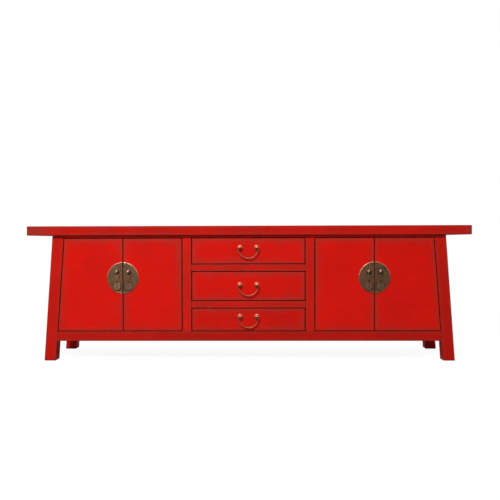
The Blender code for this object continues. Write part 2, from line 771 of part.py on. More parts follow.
def make_drawer_box(level, floor_z, opening):
    """A drawer: a thick front dovetailed to two sides, a back in dados and a bottom in grooves."""
    front_low, front_high = floor_z + GAP, floor_z + opening - GAP
    side_low, side_high = floor_z + RUN, floor_z + opening - DRAWER_HEADROOM
    front_back_y = FACE_Y + DRAWER_FRONT_T
    end_y = FACE_Y + DRAWER_L
    end_x = BAY_X - GAP
    inner_x = end_x - DRAWER_SIDE_T
    front = box(
        f"drawer_front_{level}",
        (-end_x, FACE_Y, front_low),
        (end_x, front_back_y, front_high),
        LACQUER,
        rounding=DRAWER_ROUND,
    )
    sides = []
    for side_name, side in SIDES.items():
        low_x, high_x = beside(side, inner_x, end_x)
        name = f"drawer_side_{side_name}_{level}"
        made = box(name, (low_x, front_back_y + FIT, side_low), (high_x, end_y, side_high), ELM)
        tail_low = front_low + DRAWER_BOTTOM_RISE / 2
        boolean(made, dovetails(f"{name}_tails", side, tail_low, side_high), "UNION")
        cut([front], dovetails(f"{name}_sockets", side, tail_low, side_high, FIT))
        sides.append(made)
    bottom_low = side_low + DRAWER_BOTTOM_RISE
    bottom_high = bottom_low + DRAWER_BOTTOM_T
    bottom = housed(
        f"drawer_bottom_{level}",
        (-inner_x - DRAWER_DADO, front_back_y - DRAWER_DADO, bottom_low),
        (inner_x + DRAWER_DADO, end_y - FIT, bottom_high),
        ELM,
        [front, *sides],
    )
    back_y = end_y - 2 * DRAWER_BACK_T
    back = housed(
        f"drawer_back_{level}",
        (-inner_x - DRAWER_DADO, back_y, bottom_high + FIT),
        (inner_x + DRAWER_DADO, back_y + DRAWER_BACK_T, side_high - DRAWER_BACK_DROP),
        ELM,
        sides,
    )
    return front, [front, *sides, bottom, back]


def make_pull_post(level, side_name, pull_z, front):
    """A turned post with a ball head, drilled from its outer side for the bail's end."""
    side = SIDES[side_name]
    x = side * PULL_SPACING / 2
    name = f"pull_post_{side_name}_{level}"
    profile = ball_profile(POST_BALL_OUT, POST_BALL_D, POST_NECK_D)
    profile += [(POST_NECK_D / 2, 2 * POST_COLLAR_T), (POST_COLLAR_D / 2 - POST_COLLAR_T, POST_COLLAR_T)]
    profile += [(POST_COLLAR_D / 2, POST_COLLAR_T / 2), (POST_COLLAR_D / 2, 0), (POST_SPIGOT_D / 2, 0)]
    profile += [(POST_SPIGOT_D / 2, -POST_SPIGOT_L), (0, -POST_SPIGOT_L)]
    post = turned(name, profile, SMALL_STEPS, BRIGHT_BRASS)
    post.location = (x, POST_Y, pull_z)
    post.rotation_euler = TO_FRONT
    outer = POST_BALL_D / 2
    hole_l = BAIL_PIN_L + FIT + outer
    hole_x = side * (PULL_SPACING / 2 + outer - BAIL_PIN_L - FIT + hole_l / 2)
    hole_centre = (hole_x, POST_Y - POST_BALL_OUT, pull_z)
    cut([post], rod(f"{name}_hole", BAIL_D + 2 * FIT, hole_l, hole_centre, (0, math.pi / 2, 0)))
    spigot_hole = rod(
        f"{name}_spigot_hole",
        POST_SPIGOT_D + 2 * FIT,
        2 * (POST_SPIGOT_L + FIT),
        (x, POST_Y, pull_z),
        TO_FRONT,
    )
    cut([front], spigot_hole)
    return post


def make_bail(level, pull_z, drawer_slide):
    """A bail that hangs from its posts: two short pins, tight bends and a half circle that swells below."""
    ball_edge = PULL_SPACING / 2 + POST_BALL_D / 2
    arm_x = ball_edge + FIT + BAIL_D / 2
    bend = arc((arm_x - BAIL_BEND_R, -BAIL_BEND_R), BAIL_BEND_R, 90, 0, 4)
    bow = arc((0, -BAIL_BEND_R), arm_x, 0, -90, 12)
    half = [(ball_edge - BAIL_PIN_L, 0)] + bend + bow[1:]
    path = half + [(-x, z) for x, z in reversed(half[:-1])]
    curve = bpy.data.curves.new(f"bail_{level}", "CURVE")
    curve.dimensions = "3D"
    curve.bevel_depth = BAIL_D / 2
    curve.bevel_resolution = 2
    curve.use_fill_caps = True
    spline = curve.splines.new("POLY")
    spline.points.add(len(path) - 1)
    lowest = -BAIL_BEND_R - arm_x
    for point, (x, z) in zip(spline.points, path):
        point.co = (x, 0, z, 1)
        point.radius = 1 + (BAIL_SWELL - 1) * min(0.0, z + BAIL_BEND_R) / (lowest + BAIL_BEND_R)
    bail = bpy.data.objects.new(f"bail_{level}", curve)
    curve.materials.append(BRIGHT_BRASS)
    CABINET.objects.link(bail)
    centre = (0, POST_Y - POST_BALL_OUT, pull_z)
    bail.location = centre
    carry(joint(f"bail_{level}_pivot", centre, drawer_slide), [bail])


def make_carcass():
    top_board = make_top_board()
    legs = {(end, name): make_leg(end, name, top_board) for end in ("front", "rear") for name in SIDES}
    front_legs = {name: legs["front", name] for name in SIDES}
    rear_legs = {name: legs["rear", name] for name in SIDES}
    tenon_y = FACE_Y + TENON_SETBACK
    bottom_rail = make_cross_rail(
        "front_bottom_rail", FACE_Y, FRAME_BACK_Y, FLOOR_CLEARANCE, RAIL_TOP, tenon_y, TENON_SHOULDER, front_legs
    )
    top_rail = make_cross_rail(
        "front_top_rail", FACE_Y, FRAME_BACK_Y, OPENING_TOP, UNDERSIDE - FIT, tenon_y, THIN_SHOULDER, front_legs
    )
    add_door_stops(top_rail)
    tenon_y = (REAR_RAIL_FRONT_Y + REAR_RAIL_BACK_Y - TENON_T) / 2
    rear_rails = [
        make_cross_rail(name, REAR_RAIL_FRONT_Y, REAR_RAIL_BACK_Y, low, high, tenon_y, TENON_SHOULDER, rear_legs)
        for name, low, high in (
            ("rear_bottom_rail", FLOOR_CLEARANCE, RAIL_TOP),
            ("rear_top_rail", UNDERSIDE - FIT - REAR_TOP_RAIL_H, UNDERSIDE - FIT),
        )
    ]
    for side_name in SIDES:
        make_side_panel(side_name, legs, make_side_rail(side_name, legs))
    make_back_panel(legs, rear_rails)
    make_floor_board(legs, [bottom_rail, rear_rails[0]])
    stiles = {name: make_drawer_stile(name, top_rail, bottom_rail) for name in SIDES}
    partitions = [make_partition(name, [stiles[name], top_rail]) for name in SIDES]
    lower_top = RAIL_TOP + DRAWER_OPENINGS["bottom"] + DRAWER_RAIL_H
    upper_top = lower_top + DRAWER_OPENINGS["middle"] + DRAWER_RAIL_H
    for place, top in (("lower", lower_top), ("upper", upper_top)):
        rail = make_drawer_rail(f"drawer_rail_{place}", top, stiles)
        make_dust_board(f"dust_board_{place}", top, [rail, *stiles.values(), *partitions])
    return top_rail, bottom_rail


def make_doors(top_rail, bottom_rail):
    for side_name in SIDES:
        for place in ("outer", "inner"):
            door, hinge = make_door(place, side_name, top_rail, bottom_rail)
            boss_x = make_half_plate(place, side_name, door, hinge)
            make_drop_pull(place, side_name, boss_x, hinge)


def make_drawers():
    floor_z = RAIL_TOP
    for level, opening in DRAWER_OPENINGS.items():
        front, pieces = make_drawer_box(level, floor_z, opening)
        slide = joint(f"drawer_{level}_slide", (0, FACE_Y, floor_z))
        pull_z = floor_z + opening / 2 + PULL_RISE[level]
        pieces += [make_pull_post(level, side_name, pull_z, front) for side_name in SIDES]
        carry(slide, pieces)
        make_bail(level, pull_z, slide)
        floor_z += opening + DRAWER_RAIL_H


def main():
    top_rail, bottom_rail = make_carcass()
    make_doors(top_rail, bottom_rail)
    make_drawers()


main()
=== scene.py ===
"""Low TV cabinet in red lacquer: its finishes, its brasses and the studio round it.

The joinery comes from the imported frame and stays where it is. The operators below give the boards their
lacquer or their bare wood, put finely modelled brasses in place of the plain ones, and set up the light and
the camera.
"""
import json
import math

import bmesh
import bpy
from bpy.props import FloatProperty, FloatVectorProperty, PointerProperty
from mathutils import Matrix, Vector, noise


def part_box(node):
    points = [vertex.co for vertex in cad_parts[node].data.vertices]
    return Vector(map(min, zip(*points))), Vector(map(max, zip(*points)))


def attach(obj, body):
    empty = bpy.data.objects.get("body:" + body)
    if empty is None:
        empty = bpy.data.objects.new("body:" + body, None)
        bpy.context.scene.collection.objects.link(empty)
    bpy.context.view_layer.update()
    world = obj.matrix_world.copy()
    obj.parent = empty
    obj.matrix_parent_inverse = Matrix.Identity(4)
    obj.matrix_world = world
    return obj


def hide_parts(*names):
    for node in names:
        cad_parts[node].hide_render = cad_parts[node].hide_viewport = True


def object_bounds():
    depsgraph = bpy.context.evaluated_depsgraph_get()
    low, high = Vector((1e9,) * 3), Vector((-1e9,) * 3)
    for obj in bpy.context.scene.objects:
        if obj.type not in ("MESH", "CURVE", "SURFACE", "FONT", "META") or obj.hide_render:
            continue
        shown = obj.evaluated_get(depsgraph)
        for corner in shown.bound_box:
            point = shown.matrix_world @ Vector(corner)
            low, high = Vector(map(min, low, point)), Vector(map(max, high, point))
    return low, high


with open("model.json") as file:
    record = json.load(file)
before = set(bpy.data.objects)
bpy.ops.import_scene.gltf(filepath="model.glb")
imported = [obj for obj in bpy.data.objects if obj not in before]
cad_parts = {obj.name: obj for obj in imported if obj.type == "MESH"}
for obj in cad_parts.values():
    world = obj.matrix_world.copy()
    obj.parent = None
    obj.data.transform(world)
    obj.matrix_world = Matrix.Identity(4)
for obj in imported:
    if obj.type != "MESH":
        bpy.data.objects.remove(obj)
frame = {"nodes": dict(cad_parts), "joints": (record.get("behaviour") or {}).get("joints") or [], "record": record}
CAD_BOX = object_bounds()

bl_info = {
    "name": "Red Lacquer Cabinet",
    "version": (1, 0, 0),
    "blender": (4, 5, 0),
    "location": "View3D > Sidebar > Cabinet",
    "description": "Finishes a low lacquered cabinet and its brasses on a fixed frame",
    "category": "Object",
}

PHOTO_WIDTH = 500           # pixels of the square picture that the camera is set up for
SENSOR = 36.0               # millimetres
SEAT_GAP = 0.0001           # metres between a board and the brass on it
WELD = 0.00002              # metres; points nearer to each other become one
SHARP = math.radians(38)    # edges that bend more stay sharp
TO_FRONT = Matrix.Rotation(math.pi / 2, 4, "X")  # turns local Z to the front and local Y upwards
PIVOTS = {joint["child"]: Vector(joint["pos_m"]) for joint in frame["joints"] if "pos_m" in joint}
SIDES = {"left": -1, "right": 1}
PLACES = ("outer", "inner")
LEVELS = ("bottom", "middle", "top")

# Ways in which a board runs on into its joints, so that no edge is rubbed at those ends
JOINED_ENDS = {
    "front_top_rail": "xz", "front_bottom_rail": "x", "rear_top_rail": "x", "rear_bottom_rail": "x",
    "drawer_rail_lower": "x", "drawer_rail_upper": "x", "drawer_stile_left": "z", "drawer_stile_right": "z",
    "side_rail_left": "y", "side_rail_right": "y",
}

# How far in from its left and its right end a board is painted darker, and how much
DARKER_ENDS = {"top_board": (0.165, 0.040, 1.0)}
EVEN_ENDS = (1.0, 1.0, 0.0)

# Pieces whose lacquer or brass is lighter or darker than the rest: partly their own tone, partly painted light and
# shade, as on the top rail in the board's shadow, the rear legs, the drops and the right bosses
TONES_AND_PAINTED_LIGHT = {
    "door_outer_left": 1.02, "door_inner_left": 1.01, "door_inner_right": 1.02,
    "drawer_front_bottom": 0.93, "drawer_front_top": 1.02,
    "front_top_rail": 1.30, "front_bottom_rail": 0.93, "drawer_rail_upper": 1.12, "drawer_rail_lower": 1.12,
    "drawer_stile_left": 1.22, "drawer_stile_right": 1.10,
    "leg_front_left": 1.06, "leg_rear_left": 1.15, "leg_rear_right": 0.80,
    "medallion_outer_left": 1.25, "medallion_inner_left": 1.16,
    "medallion_outer_right": 0.96, "medallion_inner_right": 1.05,
    "drop_outer_left": 1.55, "drop_inner_left": 1.15, "drop_outer_right": 0.92,
    "boss_outer_right": 0.75, "boss_inner_right": 0.70,
}

# Where each lamp stands, its width and height, and the setting that holds its power
LAMPS = {
    "key_lamp": ((-0.95, -3.3, 2.65), (0.6, 0.4), "key"),
    "fill_lamp": ((2.4, -3.0, 1.9), (2.0, 1.0), "fill"),
    "back_lamp_left": ((-3.6, 1.9, 1.9), (3.4, 3.4), "back"),
    "back_lamp_right": ((3.6, 1.9, 1.9), (3.4, 3.4), "back"),
}
LAMP_AIM = Vector((0.0, 0.0, 0.3))


def kind_of(make, **limits):
    """A function that makes settings of one kind."""
    def setting(name, description, default):
        return make(name=name, description=description, default=default, **limits)
    return setting


length = kind_of(FloatProperty, min=0.0, subtype="DISTANCE", unit="LENGTH", precision=4)
colour = kind_of(FloatVectorProperty, min=0.0, max=1.0, size=3, subtype="COLOR")
share = kind_of(FloatProperty, min=0.0, max=4.0)
angle = kind_of(FloatProperty, subtype="ANGLE", unit="ROTATION")
power = kind_of(FloatProperty, subtype="POWER", unit="POWER")
pixels = kind_of(FloatProperty, subtype="PIXEL")
position = kind_of(FloatVectorProperty, size=3, subtype="XYZ", unit="LENGTH")


class LacquerSettings(bpy.types.PropertyGroup):
    """Colours and wear of the red lacquer."""
    door_red: colour("Door red", "Lacquer of the doors and the drawer fronts", (0.64, 0.0055, 0.0012))
    frame_red: colour("Frame red", "Lacquer of the top, the legs and the rails", (0.505, 0.0085, 0.0040))
    door_gloss: share("Door gloss", "Gloss of the doors and the drawer fronts", 0.15)
    frame_gloss: share("Frame gloss", "Gloss of the top, the legs and the rails", 0.10)
    glaze: colour("Glaze", "Dark glaze that was rubbed into the edges", (0.31, 0.0190, 0.0100))
    undercoat: colour("Undercoat", "What shows where an edge is rubbed through", (0.075, 0.0055, 0.0030))
    glaze_width: length("Glaze width", "How far the dark glaze reaches in from a door's edge", 0.036)
    frame_glaze: length("Frame glaze", "How far the dark glaze reaches in from a rail's edge", 0.018)
    rub_width: length("Rub width", "How far the lacquer is rubbed through at an edge", 0.0016)


class WoodSettings(bpy.types.PropertyGroup):
    """Colours and grain of the bare wood."""
    pale: colour("Early wood", "Pale wood between the rings", (0.52, 0.330, 0.165))
    dark: colour("Late wood", "Dark lines of the rings", (0.30, 0.160, 0.070))
    pore: colour("Pores", "Open pores and the joints between planks", (0.13, 0.066, 0.030))
    ring: length("Ring", "Width of one year's ring", 0.0042)
    plank: length("Plank", "Width of the planks that a wide board is glued up from", 0.145)


class BrassSettings(bpy.types.PropertyGroup):
    """Colours of the brass."""
    aged: colour("Aged brass", "Brown brass of the medallions", (0.222, 0.114, 0.057))
    patina: colour("Patina", "Dark patches on the medallions", (0.079, 0.041, 0.022))
    # Rubbed brass also gives the painted highlight on the lower edge of each drop pull's belly.
    rubbed: colour("Rubbed brass", "Brass of the bosses and the drop pulls where hands rub it",
                   (0.86, 0.68, 0.50))
    # The rim colour is painted on as a highlight along the rim's upper turn.
    rim: colour("Rim", "Brass of a medallion's rim where a duster reaches it", (0.80, 0.44, 0.31))
    polished: colour("Polished", "Brass of the posts' heads where hands rub it", (0.76, 0.24, 0.135))
    bail: colour("Bail", "Brass of the bails", (0.56, 0.135, 0.074))
    tarnish: colour("Tarnish", "Brass of the drawer pulls in its hollows", (0.24, 0.064, 0.024))


class MedallionSettings(bpy.types.PropertyGroup):
    """Sizes of the medallions and the drop pulls."""
    crown: length("Crown", "How far the middle of a plate stands above its border", 0.0008)
    rim: length("Rim", "Radius of the beaded rim", 0.0024)
    plate: length("Plate", "Thickness of a plate beside its rim", 0.0022)
    dents: length("Dents", "Unevenness that the hammer left", 0.00022)
    boss_width: length("Boss width", "Width of a boss's head", 0.0120)
    boss_height: length("Boss height", "Height of a boss's head", 0.0180)
    boss_depth: length("Boss depth", "Depth of a boss's head", 0.0110)
    boss_out: length("Boss reach", "From the plate's back to the middle of a boss's head", 0.0135)
    boss_stem: length("Boss stem", "Diameter of a boss behind its head", 0.0068)
    boss_collar: length("Boss collar", "Diameter of a boss on the plate", 0.0130)
    tack: length("Tack", "Diameter of a tack's head", 0.0036)
    fork_arm: length("Fork arm", "Width of an arm of a drop pull's fork", 0.0034)
    fork_play: length("Fork play", "Gap between a fork and its boss", 0.0006)
    fork_space: length("Fork space", "Gap between a boss's lower end and the fork", 0.0035)
    neck_width: length("Neck width", "Width of a drop pull's neck", 0.0165)
    neck_down: length("Neck height", "From a drop pull's pin down to its neck", 0.0240)
    blade: length("Blade", "Thickness of a drop pull at its neck", 0.0026)
    belly: length("Belly", "Thickness of a drop pull at its belly", 0.0034)
    stud: length("Stud", "Diameter of the stud on a drop pull", 0.0052)
    stud_height: length("Stud height", "How far the stud stands out", 0.0014)
    stud_down: length("Stud place", "From a drop pull's pin down to its stud", 0.0395)
    pin: length("Pin", "Diameter of the pin that a drop pull hangs on", 0.0022)


class PullSettings(bpy.types.PropertyGroup):
    """Sizes of the drawer pulls."""
    wire: length("Wire", "Diameter of a bail at its ends", 0.0038)
    arm: length("Arm", "From the middle of a post's head to a bail's arm", 0.0070)
    swell: share("Swell", "Diameter of a bail's middle beside its ends", 1.25)
    bend: length("Bend", "Radius of the bends at a bail's ends", 0.0028)
    pin: length("Pin", "How far a bail's end goes into its post", 0.0040)
    ball: length("Ball", "Diameter of a post's head", 0.0144)
    neck: length("Neck", "Diameter of a post behind its head", 0.0064)
    collar: length("Collar", "Thickness of a post's rosette at its edge", 0.0018)
    rosette: length("Rosette", "Diameter of a post's rosette", 0.0212)


class StageSettings(bpy.types.PropertyGroup):
    """Light and camera."""
    eye: position("Eye", "Where the camera stands", (0.0600, -3.0445, 0.4916))
    yaw: angle("Yaw", "Turn of the camera to the left", math.radians(1.058))
    pitch: angle("Pitch", "Tilt of the camera upwards", math.radians(-0.806))
    roll: angle("Roll", "Turn of the picture", math.radians(-0.161))
    focus: pixels("Focal length", "Focal length in pixels of the picture", 704.4)
    sky: share("Sky", "Level of the light from all round", 0.27)
    front: share("Front", "Level of the room in front, as the brass reflects it", 0.22)
    key: power("Key", "Power of the lamp above on the left", 132.0)
    fill: power("Fill", "Power of the lamp on the right", 9.0)
    back: power("Back", "Power of each lamp behind the cabinet", 60.0)
    floor: share("Floor", "Share of the white floor that takes no shadow", 0.93)


class Number:
    """A number that runs through the nodes of a finish, and is reckoned with as any other."""

    def __init__(self, finish, socket):
        self.finish = finish
        self.socket = socket

    def __add__(self, other):
        return self.finish.math("ADD", self, other)

    def __sub__(self, other):
        return self.finish.math("SUBTRACT", self, other)

    def __rsub__(self, other):
        return self.finish.math("SUBTRACT", other, self)

    def __mul__(self, other):
        return self.finish.math("MULTIPLY", self, other)

    def __truediv__(self, other):
        return self.finish.math("DIVIDE", self, other)


class Finish:
    """The nodes of a material or a world, added one by one, each with its inputs."""

    def __init__(self, owner):
        owner.use_nodes = True
        self.owner = owner
        self.tree = owner.node_tree
        self.tree.nodes.clear()

    def node(self, kind, inputs, **settings):
        """Adds a node and gives its outputs."""
        made = self.tree.nodes.new("ShaderNode" + kind)
        for key, value in settings.items():
            setattr(made, key, value)
        for key, value in inputs.items():
            if isinstance(value, Number):
                value = value.socket
            if isinstance(value, bpy.types.NodeSocket):
                self.tree.links.new(value, made.inputs[key])
            else:
                made.inputs[key].default_value = value
        return made.outputs

    def number(self, kind, inputs, output=0, **settings):
        return Number(self, self.node(kind, inputs, **settings)[output])

    def place(self):
        """Coordinates on the piece, which move with it."""
        return self.node("TexCoord", {})["Object"]

    def own(self, name, output="Vector"):
        """A value that each piece carries."""
        return self.node("Attribute", {}, attribute_type="OBJECT", attribute_name=name)[output]

    def pattern(self):
        """Coordinates on the piece, shifted to its own place in the patterns."""
        return self.vector("ADD", self.place(), self.own("board_shift"))

    def math(self, operation, *values):
        return self.number("Math", dict(enumerate(values)), operation=operation)

    def vector(self, operation, *values):
        return self.node("VectorMath", dict(enumerate(values)), operation=operation)[0]

    def dot(self, first, second):
        return self.number("VectorMath", {0: first, 1: second}, "Value", operation="DOT_PRODUCT")

    def size(self, vector):
        return self.number("VectorMath", {0: vector}, "Value", operation="LENGTH")

    def split(self, vector):
        """The three numbers of a vector."""
        return [Number(self, output) for output in self.node("SeparateXYZ", {0: vector})]

    def join(self, x, y=0.0, z=0.0):
        """The vector of three numbers."""
        return self.node("CombineXYZ", {0: x, 1: y, 2: z})[0]

    def grey(self, level):
        return self.join(level, level, level)

    def noise(self, place, scale=1.0, detail=3.0, roughness=0.5):
        inputs = {"Vector": place, "Scale": scale, "Detail": detail, "Roughness": roughness}
        return self.number("TexNoise", inputs)

    def ramp(self, value, low, high, at_low=0.0, at_high=1.0):
        """A soft step from one value to another."""
        inputs = {"Value": value, "From Min": low, "From Max": high, "To Min": at_low, "To Max": at_high}
        return self.number("MapRange", inputs, interpolation_type="SMOOTHSTEP")

    def fall(self, value, low, high, at_low=1.0):
        """A soft step down to nothing."""
        return self.ramp(value, low, high, at_low, 0.0)

    def choose(self, factor, first, second):
        return self.number("Mix", {0: factor, 2: first, 3: second}, data_type="FLOAT")

    def mix(self, factor, first, second, blend="MIX"):
        inputs = {0: factor, 6: opaque(first), 7: opaque(second)}
        return self.node("Mix", inputs, data_type="RGBA", blend_type=blend)[2]

    def tone(self, body):
        """A colour in the piece's own tone, with the painted light and shade that some pieces carry."""
        return self.mix(1.0, body, self.own("board_tone", "Color"), "MULTIPLY")

    def bump(self, height, distance, strength):
        return self.node("Bump", {"Height": height, "Distance": distance, "Strength": strength})[0]

    def shining(self, path):
        """Whether a ray comes from something shiny or clear."""
        rays = self.math("ADD", path["Is Glossy Ray"], path["Is Transmission Ray"])
        return self.math("MINIMUM", rays, 1.0)

    def matt(self, body):
        return self.node("BsdfDiffuse", {"Color": opaque(body)})[0]

    def glow(self, strength):
        return self.node("Emission", {"Strength": strength})[0]

    def either(self, factor, first, second):
        return self.node("MixShader", {0: factor, 1: first, 2: second})[0]

    def close(self, inputs):
        """Ends the material in one Principled shader."""
        shader = self.node("BsdfPrincipled", inputs)[0]
        self.node("OutputMaterial", {"Surface": shader})
        return self.owner


def opaque(value):
    if isinstance(value, bpy.types.NodeSocket):
        return value
    return (*value, 1.0)


def toned(body, level):
    return [level * c for c in body]


def edge_distance(finish):
    """Distance from a point on a board to the nearest edge of the face that it lies on."""
    place = finish.place()
    height = finish.split(place)[2]
    lean = finish.split(finish.own("board_lean"))
    low = finish.vector("ADD", finish.own("board_low"), finish.join(lean[0] * height))
    high = finish.vector("ADD", finish.own("board_high"), finish.join(lean[1] * height))
    from_low = finish.vector("SUBTRACT", place, low)
    from_high = finish.vector("SUBTRACT", high, place)
    x, y, z = finish.split(finish.vector("MINIMUM", from_low, from_high))
    # A point on a face is at no distance from it, so the edge is at the middle one of the three distances.
    nearer = finish.math("MINIMUM", x, y)
    further = finish.math("MAXIMUM", x, y)
    return finish.math("MAXIMUM", nearer, finish.math("MINIMUM", further, z))


def end_darkening(finish):
    """How much darker a board is painted towards its ends."""
    x, low, high = (finish.split(place)[0]
                    for place in (finish.place(), finish.own("board_low"), finish.own("board_high")))
    left_reach, right_reach, strength = finish.split(finish.own("board_handled"))
    nearer = finish.math("MINIMUM", (x - low) / left_reach, (high - x) / right_reach)
    return finish.fall(nearer, 0.0, 1.0) * strength


def red_lacquer(name, red, glaze_width, gloss, coat):
    """Brushed lacquer with a dark glaze in its edges, rubbed through here and there."""
    finish = Finish(bpy.data.materials.new(name))
    place = finish.pattern()
    edge = edge_distance(finish)
    brushed = finish.vector("MULTIPLY", place, finish.own("board_grain"))
    clouds = finish.noise(place, scale=5.0, detail=4.0, roughness=0.6)
    streaks = finish.noise(brushed, detail=5.0, roughness=0.62)
    patches = finish.noise(place, scale=26.0)
    crumbs = finish.noise(place, scale=210.0, detail=2.0)
    # Lacquer
    deeper = [c * s for c, s in zip(red, (0.86, 0.80, 0.80))]
    body = finish.mix(finish.ramp(clouds, 0.34, 0.70), red, deeper)
    body = finish.mix(finish.ramp(streaks, 0.42, 0.78, at_high=0.75), body, deeper)
    body = finish.tone(body)
    # Glaze in the edges, and the darkening towards a board's ends
    uneven = finish.ramp(patches, 0.30, 0.72, 0.55, 1.25) * glaze_width
    fade = finish.math("POWER", finish.math("MAXIMUM", 1.0 - edge / uneven, 0.0), 1.7)
    glaze = fade * 0.85 * finish.ramp(clouds, 0.2, 0.7, at_low=0.65)
    glaze = finish.math("MAXIMUM", glaze, end_darkening(finish))
    body = finish.mix(glaze, body, coat.glaze)
    # Rubbed edges
    rub = edge / (finish.ramp(crumbs, 0.35, 0.7, 0.1, 1.3) * coat.rub_width)
    bare = finish.fall(rub, 0.4, 1.0) * finish.ramp(patches, 0.50, 0.66)
    body = finish.mix(bare, body, coat.undercoat)
    smooth = finish.ramp(clouds, 0.3, 0.7, 0.22, 0.29)
    relief = streaks * 0.7 + patches * 0.3 - bare * 0.5
    return finish.close({
        "Base Color": body,
        "Roughness": smooth + bare * 0.25 + streaks * 0.06 + glaze * 0.40,
        "Specular IOR Level": gloss,
        "Normal": finish.bump(relief, distance=0.0004, strength=0.35),
    })


def bare_wood(name, wood):
    """Planed elm, glued up from planks, with flat-sawn rings and open pores."""
    tree = 9.0                      # metres of tree that the planks are cut from
    strays, offset = 0.05, 0.06     # metres that the pith lies aside, along a plank and between planks
    lean = 0.10                     # how steeply the pith may run to a board's face
    nearest, further = 0.03, 0.07   # metres from a board to its pith, and what chance adds to them
    uneven = 0.0045                 # metres by which the rings waver
    finish = Finish(bpy.data.materials.new(name))
    along, across, through = (finish.dot(finish.place(), finish.own(way))
                              for way in ("board_along", "board_across", "board_through"))
    start = finish.dot(finish.own("board_shift"), (1.0, 1.0, 1.0))
    # Planks, each from another place in its tree
    planks = across / wood.plank + start
    number = finish.math("FLOOR", planks)
    within = finish.math("FRACT", planks) - 0.5
    luck = finish.node("TexWhiteNoise", {"W": number + start}, noise_dimensions="1D")["Color"]
    luck_x, luck_y, luck_z = finish.split(luck)
    length_on = along + luck_x * tree
    # Distance to the pith, which lies behind the board and runs aslant to it
    slow = finish.noise(finish.join(length_on * 3.2, number, start), detail=2.0)
    aside = within * wood.plank + (slow - 0.5) * strays + (luck_x - 0.5) * offset
    depth = through + along * ((luck_y - 0.5) * lean) + (luck_z * further + nearest)
    wobble = finish.noise(finish.join(length_on * 12.0, across * 60.0, through * 60.0)) * uneven
    pith = finish.math("SQRT", aside * aside + depth * depth) + wobble
    year = finish.math("FRACT", pith / wood.ring)
    late = finish.ramp(year, 0.30, 0.90) * finish.fall(year, 0.90, 1.0)
    # Fibres, pores and the joints between planks
    fibres = finish.noise(finish.join(length_on * 26.0, across * 850.0, through * 850.0), roughness=0.6)
    pores = finish.ramp(fibres, 0.58, 0.70) * finish.ramp(year, 0.15, 0.6, 1.0, 0.25)
    seam = (0.5 - finish.math("ABSOLUTE", within)) * wood.plank
    joint = finish.fall(seam, 0.0002, 0.0007, at_low=0.75)
    clouds = finish.noise(finish.pattern(), scale=6.0)
    body = finish.mix(late * 0.72, wood.pale, wood.dark)
    body = finish.mix(pores * 0.55, body, wood.pore)
    body = finish.mix(finish.ramp(clouds, 0.35, 0.75, at_high=0.25), body, wood.dark)
    body = finish.mix(1.0, body, finish.grey(luck_z * 0.22 + 0.84), "MULTIPLY")
    body = finish.mix(joint, body, wood.pore)
    relief = late * 0.3 - (pores + joint)
    return finish.close({
        "Base Color": finish.tone(body),
        "Roughness": finish.ramp(fibres, 0.3, 0.7, 0.50, 0.66),
        "Specular IOR Level": 0.25,
        "Normal": finish.bump(relief, distance=0.0003, strength=0.5),
    })


def worn_brass(name, shine, dull, rough, spread, cover=1.0, painted_darkening=None, rubbed=None):
    """Brass with cloudy dull patches and fine scratches.

    Spread is how close together the patches lie, and cover is how strongly they show. The painted darkening names
    a function and its sizes, which give where each point is painted darker besides, as painted shade. Rubbed
    starts with a brighter colour, and names in the same way where it shows: wear, and a painted highlight.
    """
    finish = Finish(bpy.data.materials.new(name))
    place = finish.pattern()
    x, y = finish.split(finish.place())[:2]
    wiped = finish.vector("MULTIPLY", place, (2400.0, 2400.0, 260.0))
    clouds = finish.noise(place, spread, detail=5.0, roughness=0.62)
    spots = finish.noise(place, 9.0 * spread, roughness=0.6)
    scratches = finish.noise(wiped, detail=2.0)
    dulled_and_shaded = finish.ramp(clouds, 0.36, 0.66, at_high=cover)
    dulled_and_shaded = dulled_and_shaded + finish.ramp(spots, 0.52, 0.75, at_high=0.5 * cover)
    # Painted shade adds to the dull patches here.
    if painted_darkening:
        where, *sizes = painted_darkening
        dulled_and_shaded = dulled_and_shaded + where(finish, x, y, *sizes)
    dulled_and_shaded = finish.math("MINIMUM", dulled_and_shaded, 1.0)
    body = finish.mix(dulled_and_shaded, shine, dull)
    body = finish.mix(finish.ramp(scratches, 0.60, 0.74, at_high=0.30), body, shine)
    if rubbed:
        bright, where, *sizes = rubbed
        wear_and_highlight = where(finish, x, y, *sizes) * finish.ramp(spots, 0.30, 0.62, 1.0, 0.55)
        body = finish.mix(wear_and_highlight, body, bright)
    relief = spots * 0.8 + scratches * 0.35
    return finish.close({
        "Base Color": finish.tone(body),
        # Tarnish is no bare metal, so shadows show on it.
        "Metallic": finish.ramp(dulled_and_shaded, 0.0, 1.0, 0.90, 0.45),
        "Specular IOR Level": 0.2,
        "Roughness": finish.ramp(dulled_and_shaded, 0.0, 1.0, rough, rough + 0.18),
        "Normal": finish.bump(relief, distance=0.00022, strength=0.5),
    })


def far_from(finish, x, y, centre=(0.0, 0.0)):
    """Distance from a line that runs to the front."""
    return finish.size(finish.join(x - centre[0], y - centre[1]))


def underside_painted_shade(finish, x, y, reach, slant=0.0):
    """Painted shade on the lower part of a turned piece; a slant raises it on the right."""
    return finish.fall(y - x * slant, -0.65 * reach, 0.25 * reach)


def painted_rim_highlight(finish, x, y, radius):
    """The outer turn of a plate's rim, rubbed bright where a duster reaches it, and painted brighter from its
    middle upwards as a painted highlight.
    """
    turn_width = 0.0008
    turn = finish.ramp(far_from(finish, x, y), radius, radius + turn_width)
    return turn * finish.ramp(y, -0.4 * radius, 0.6 * radius, at_low=0.12)


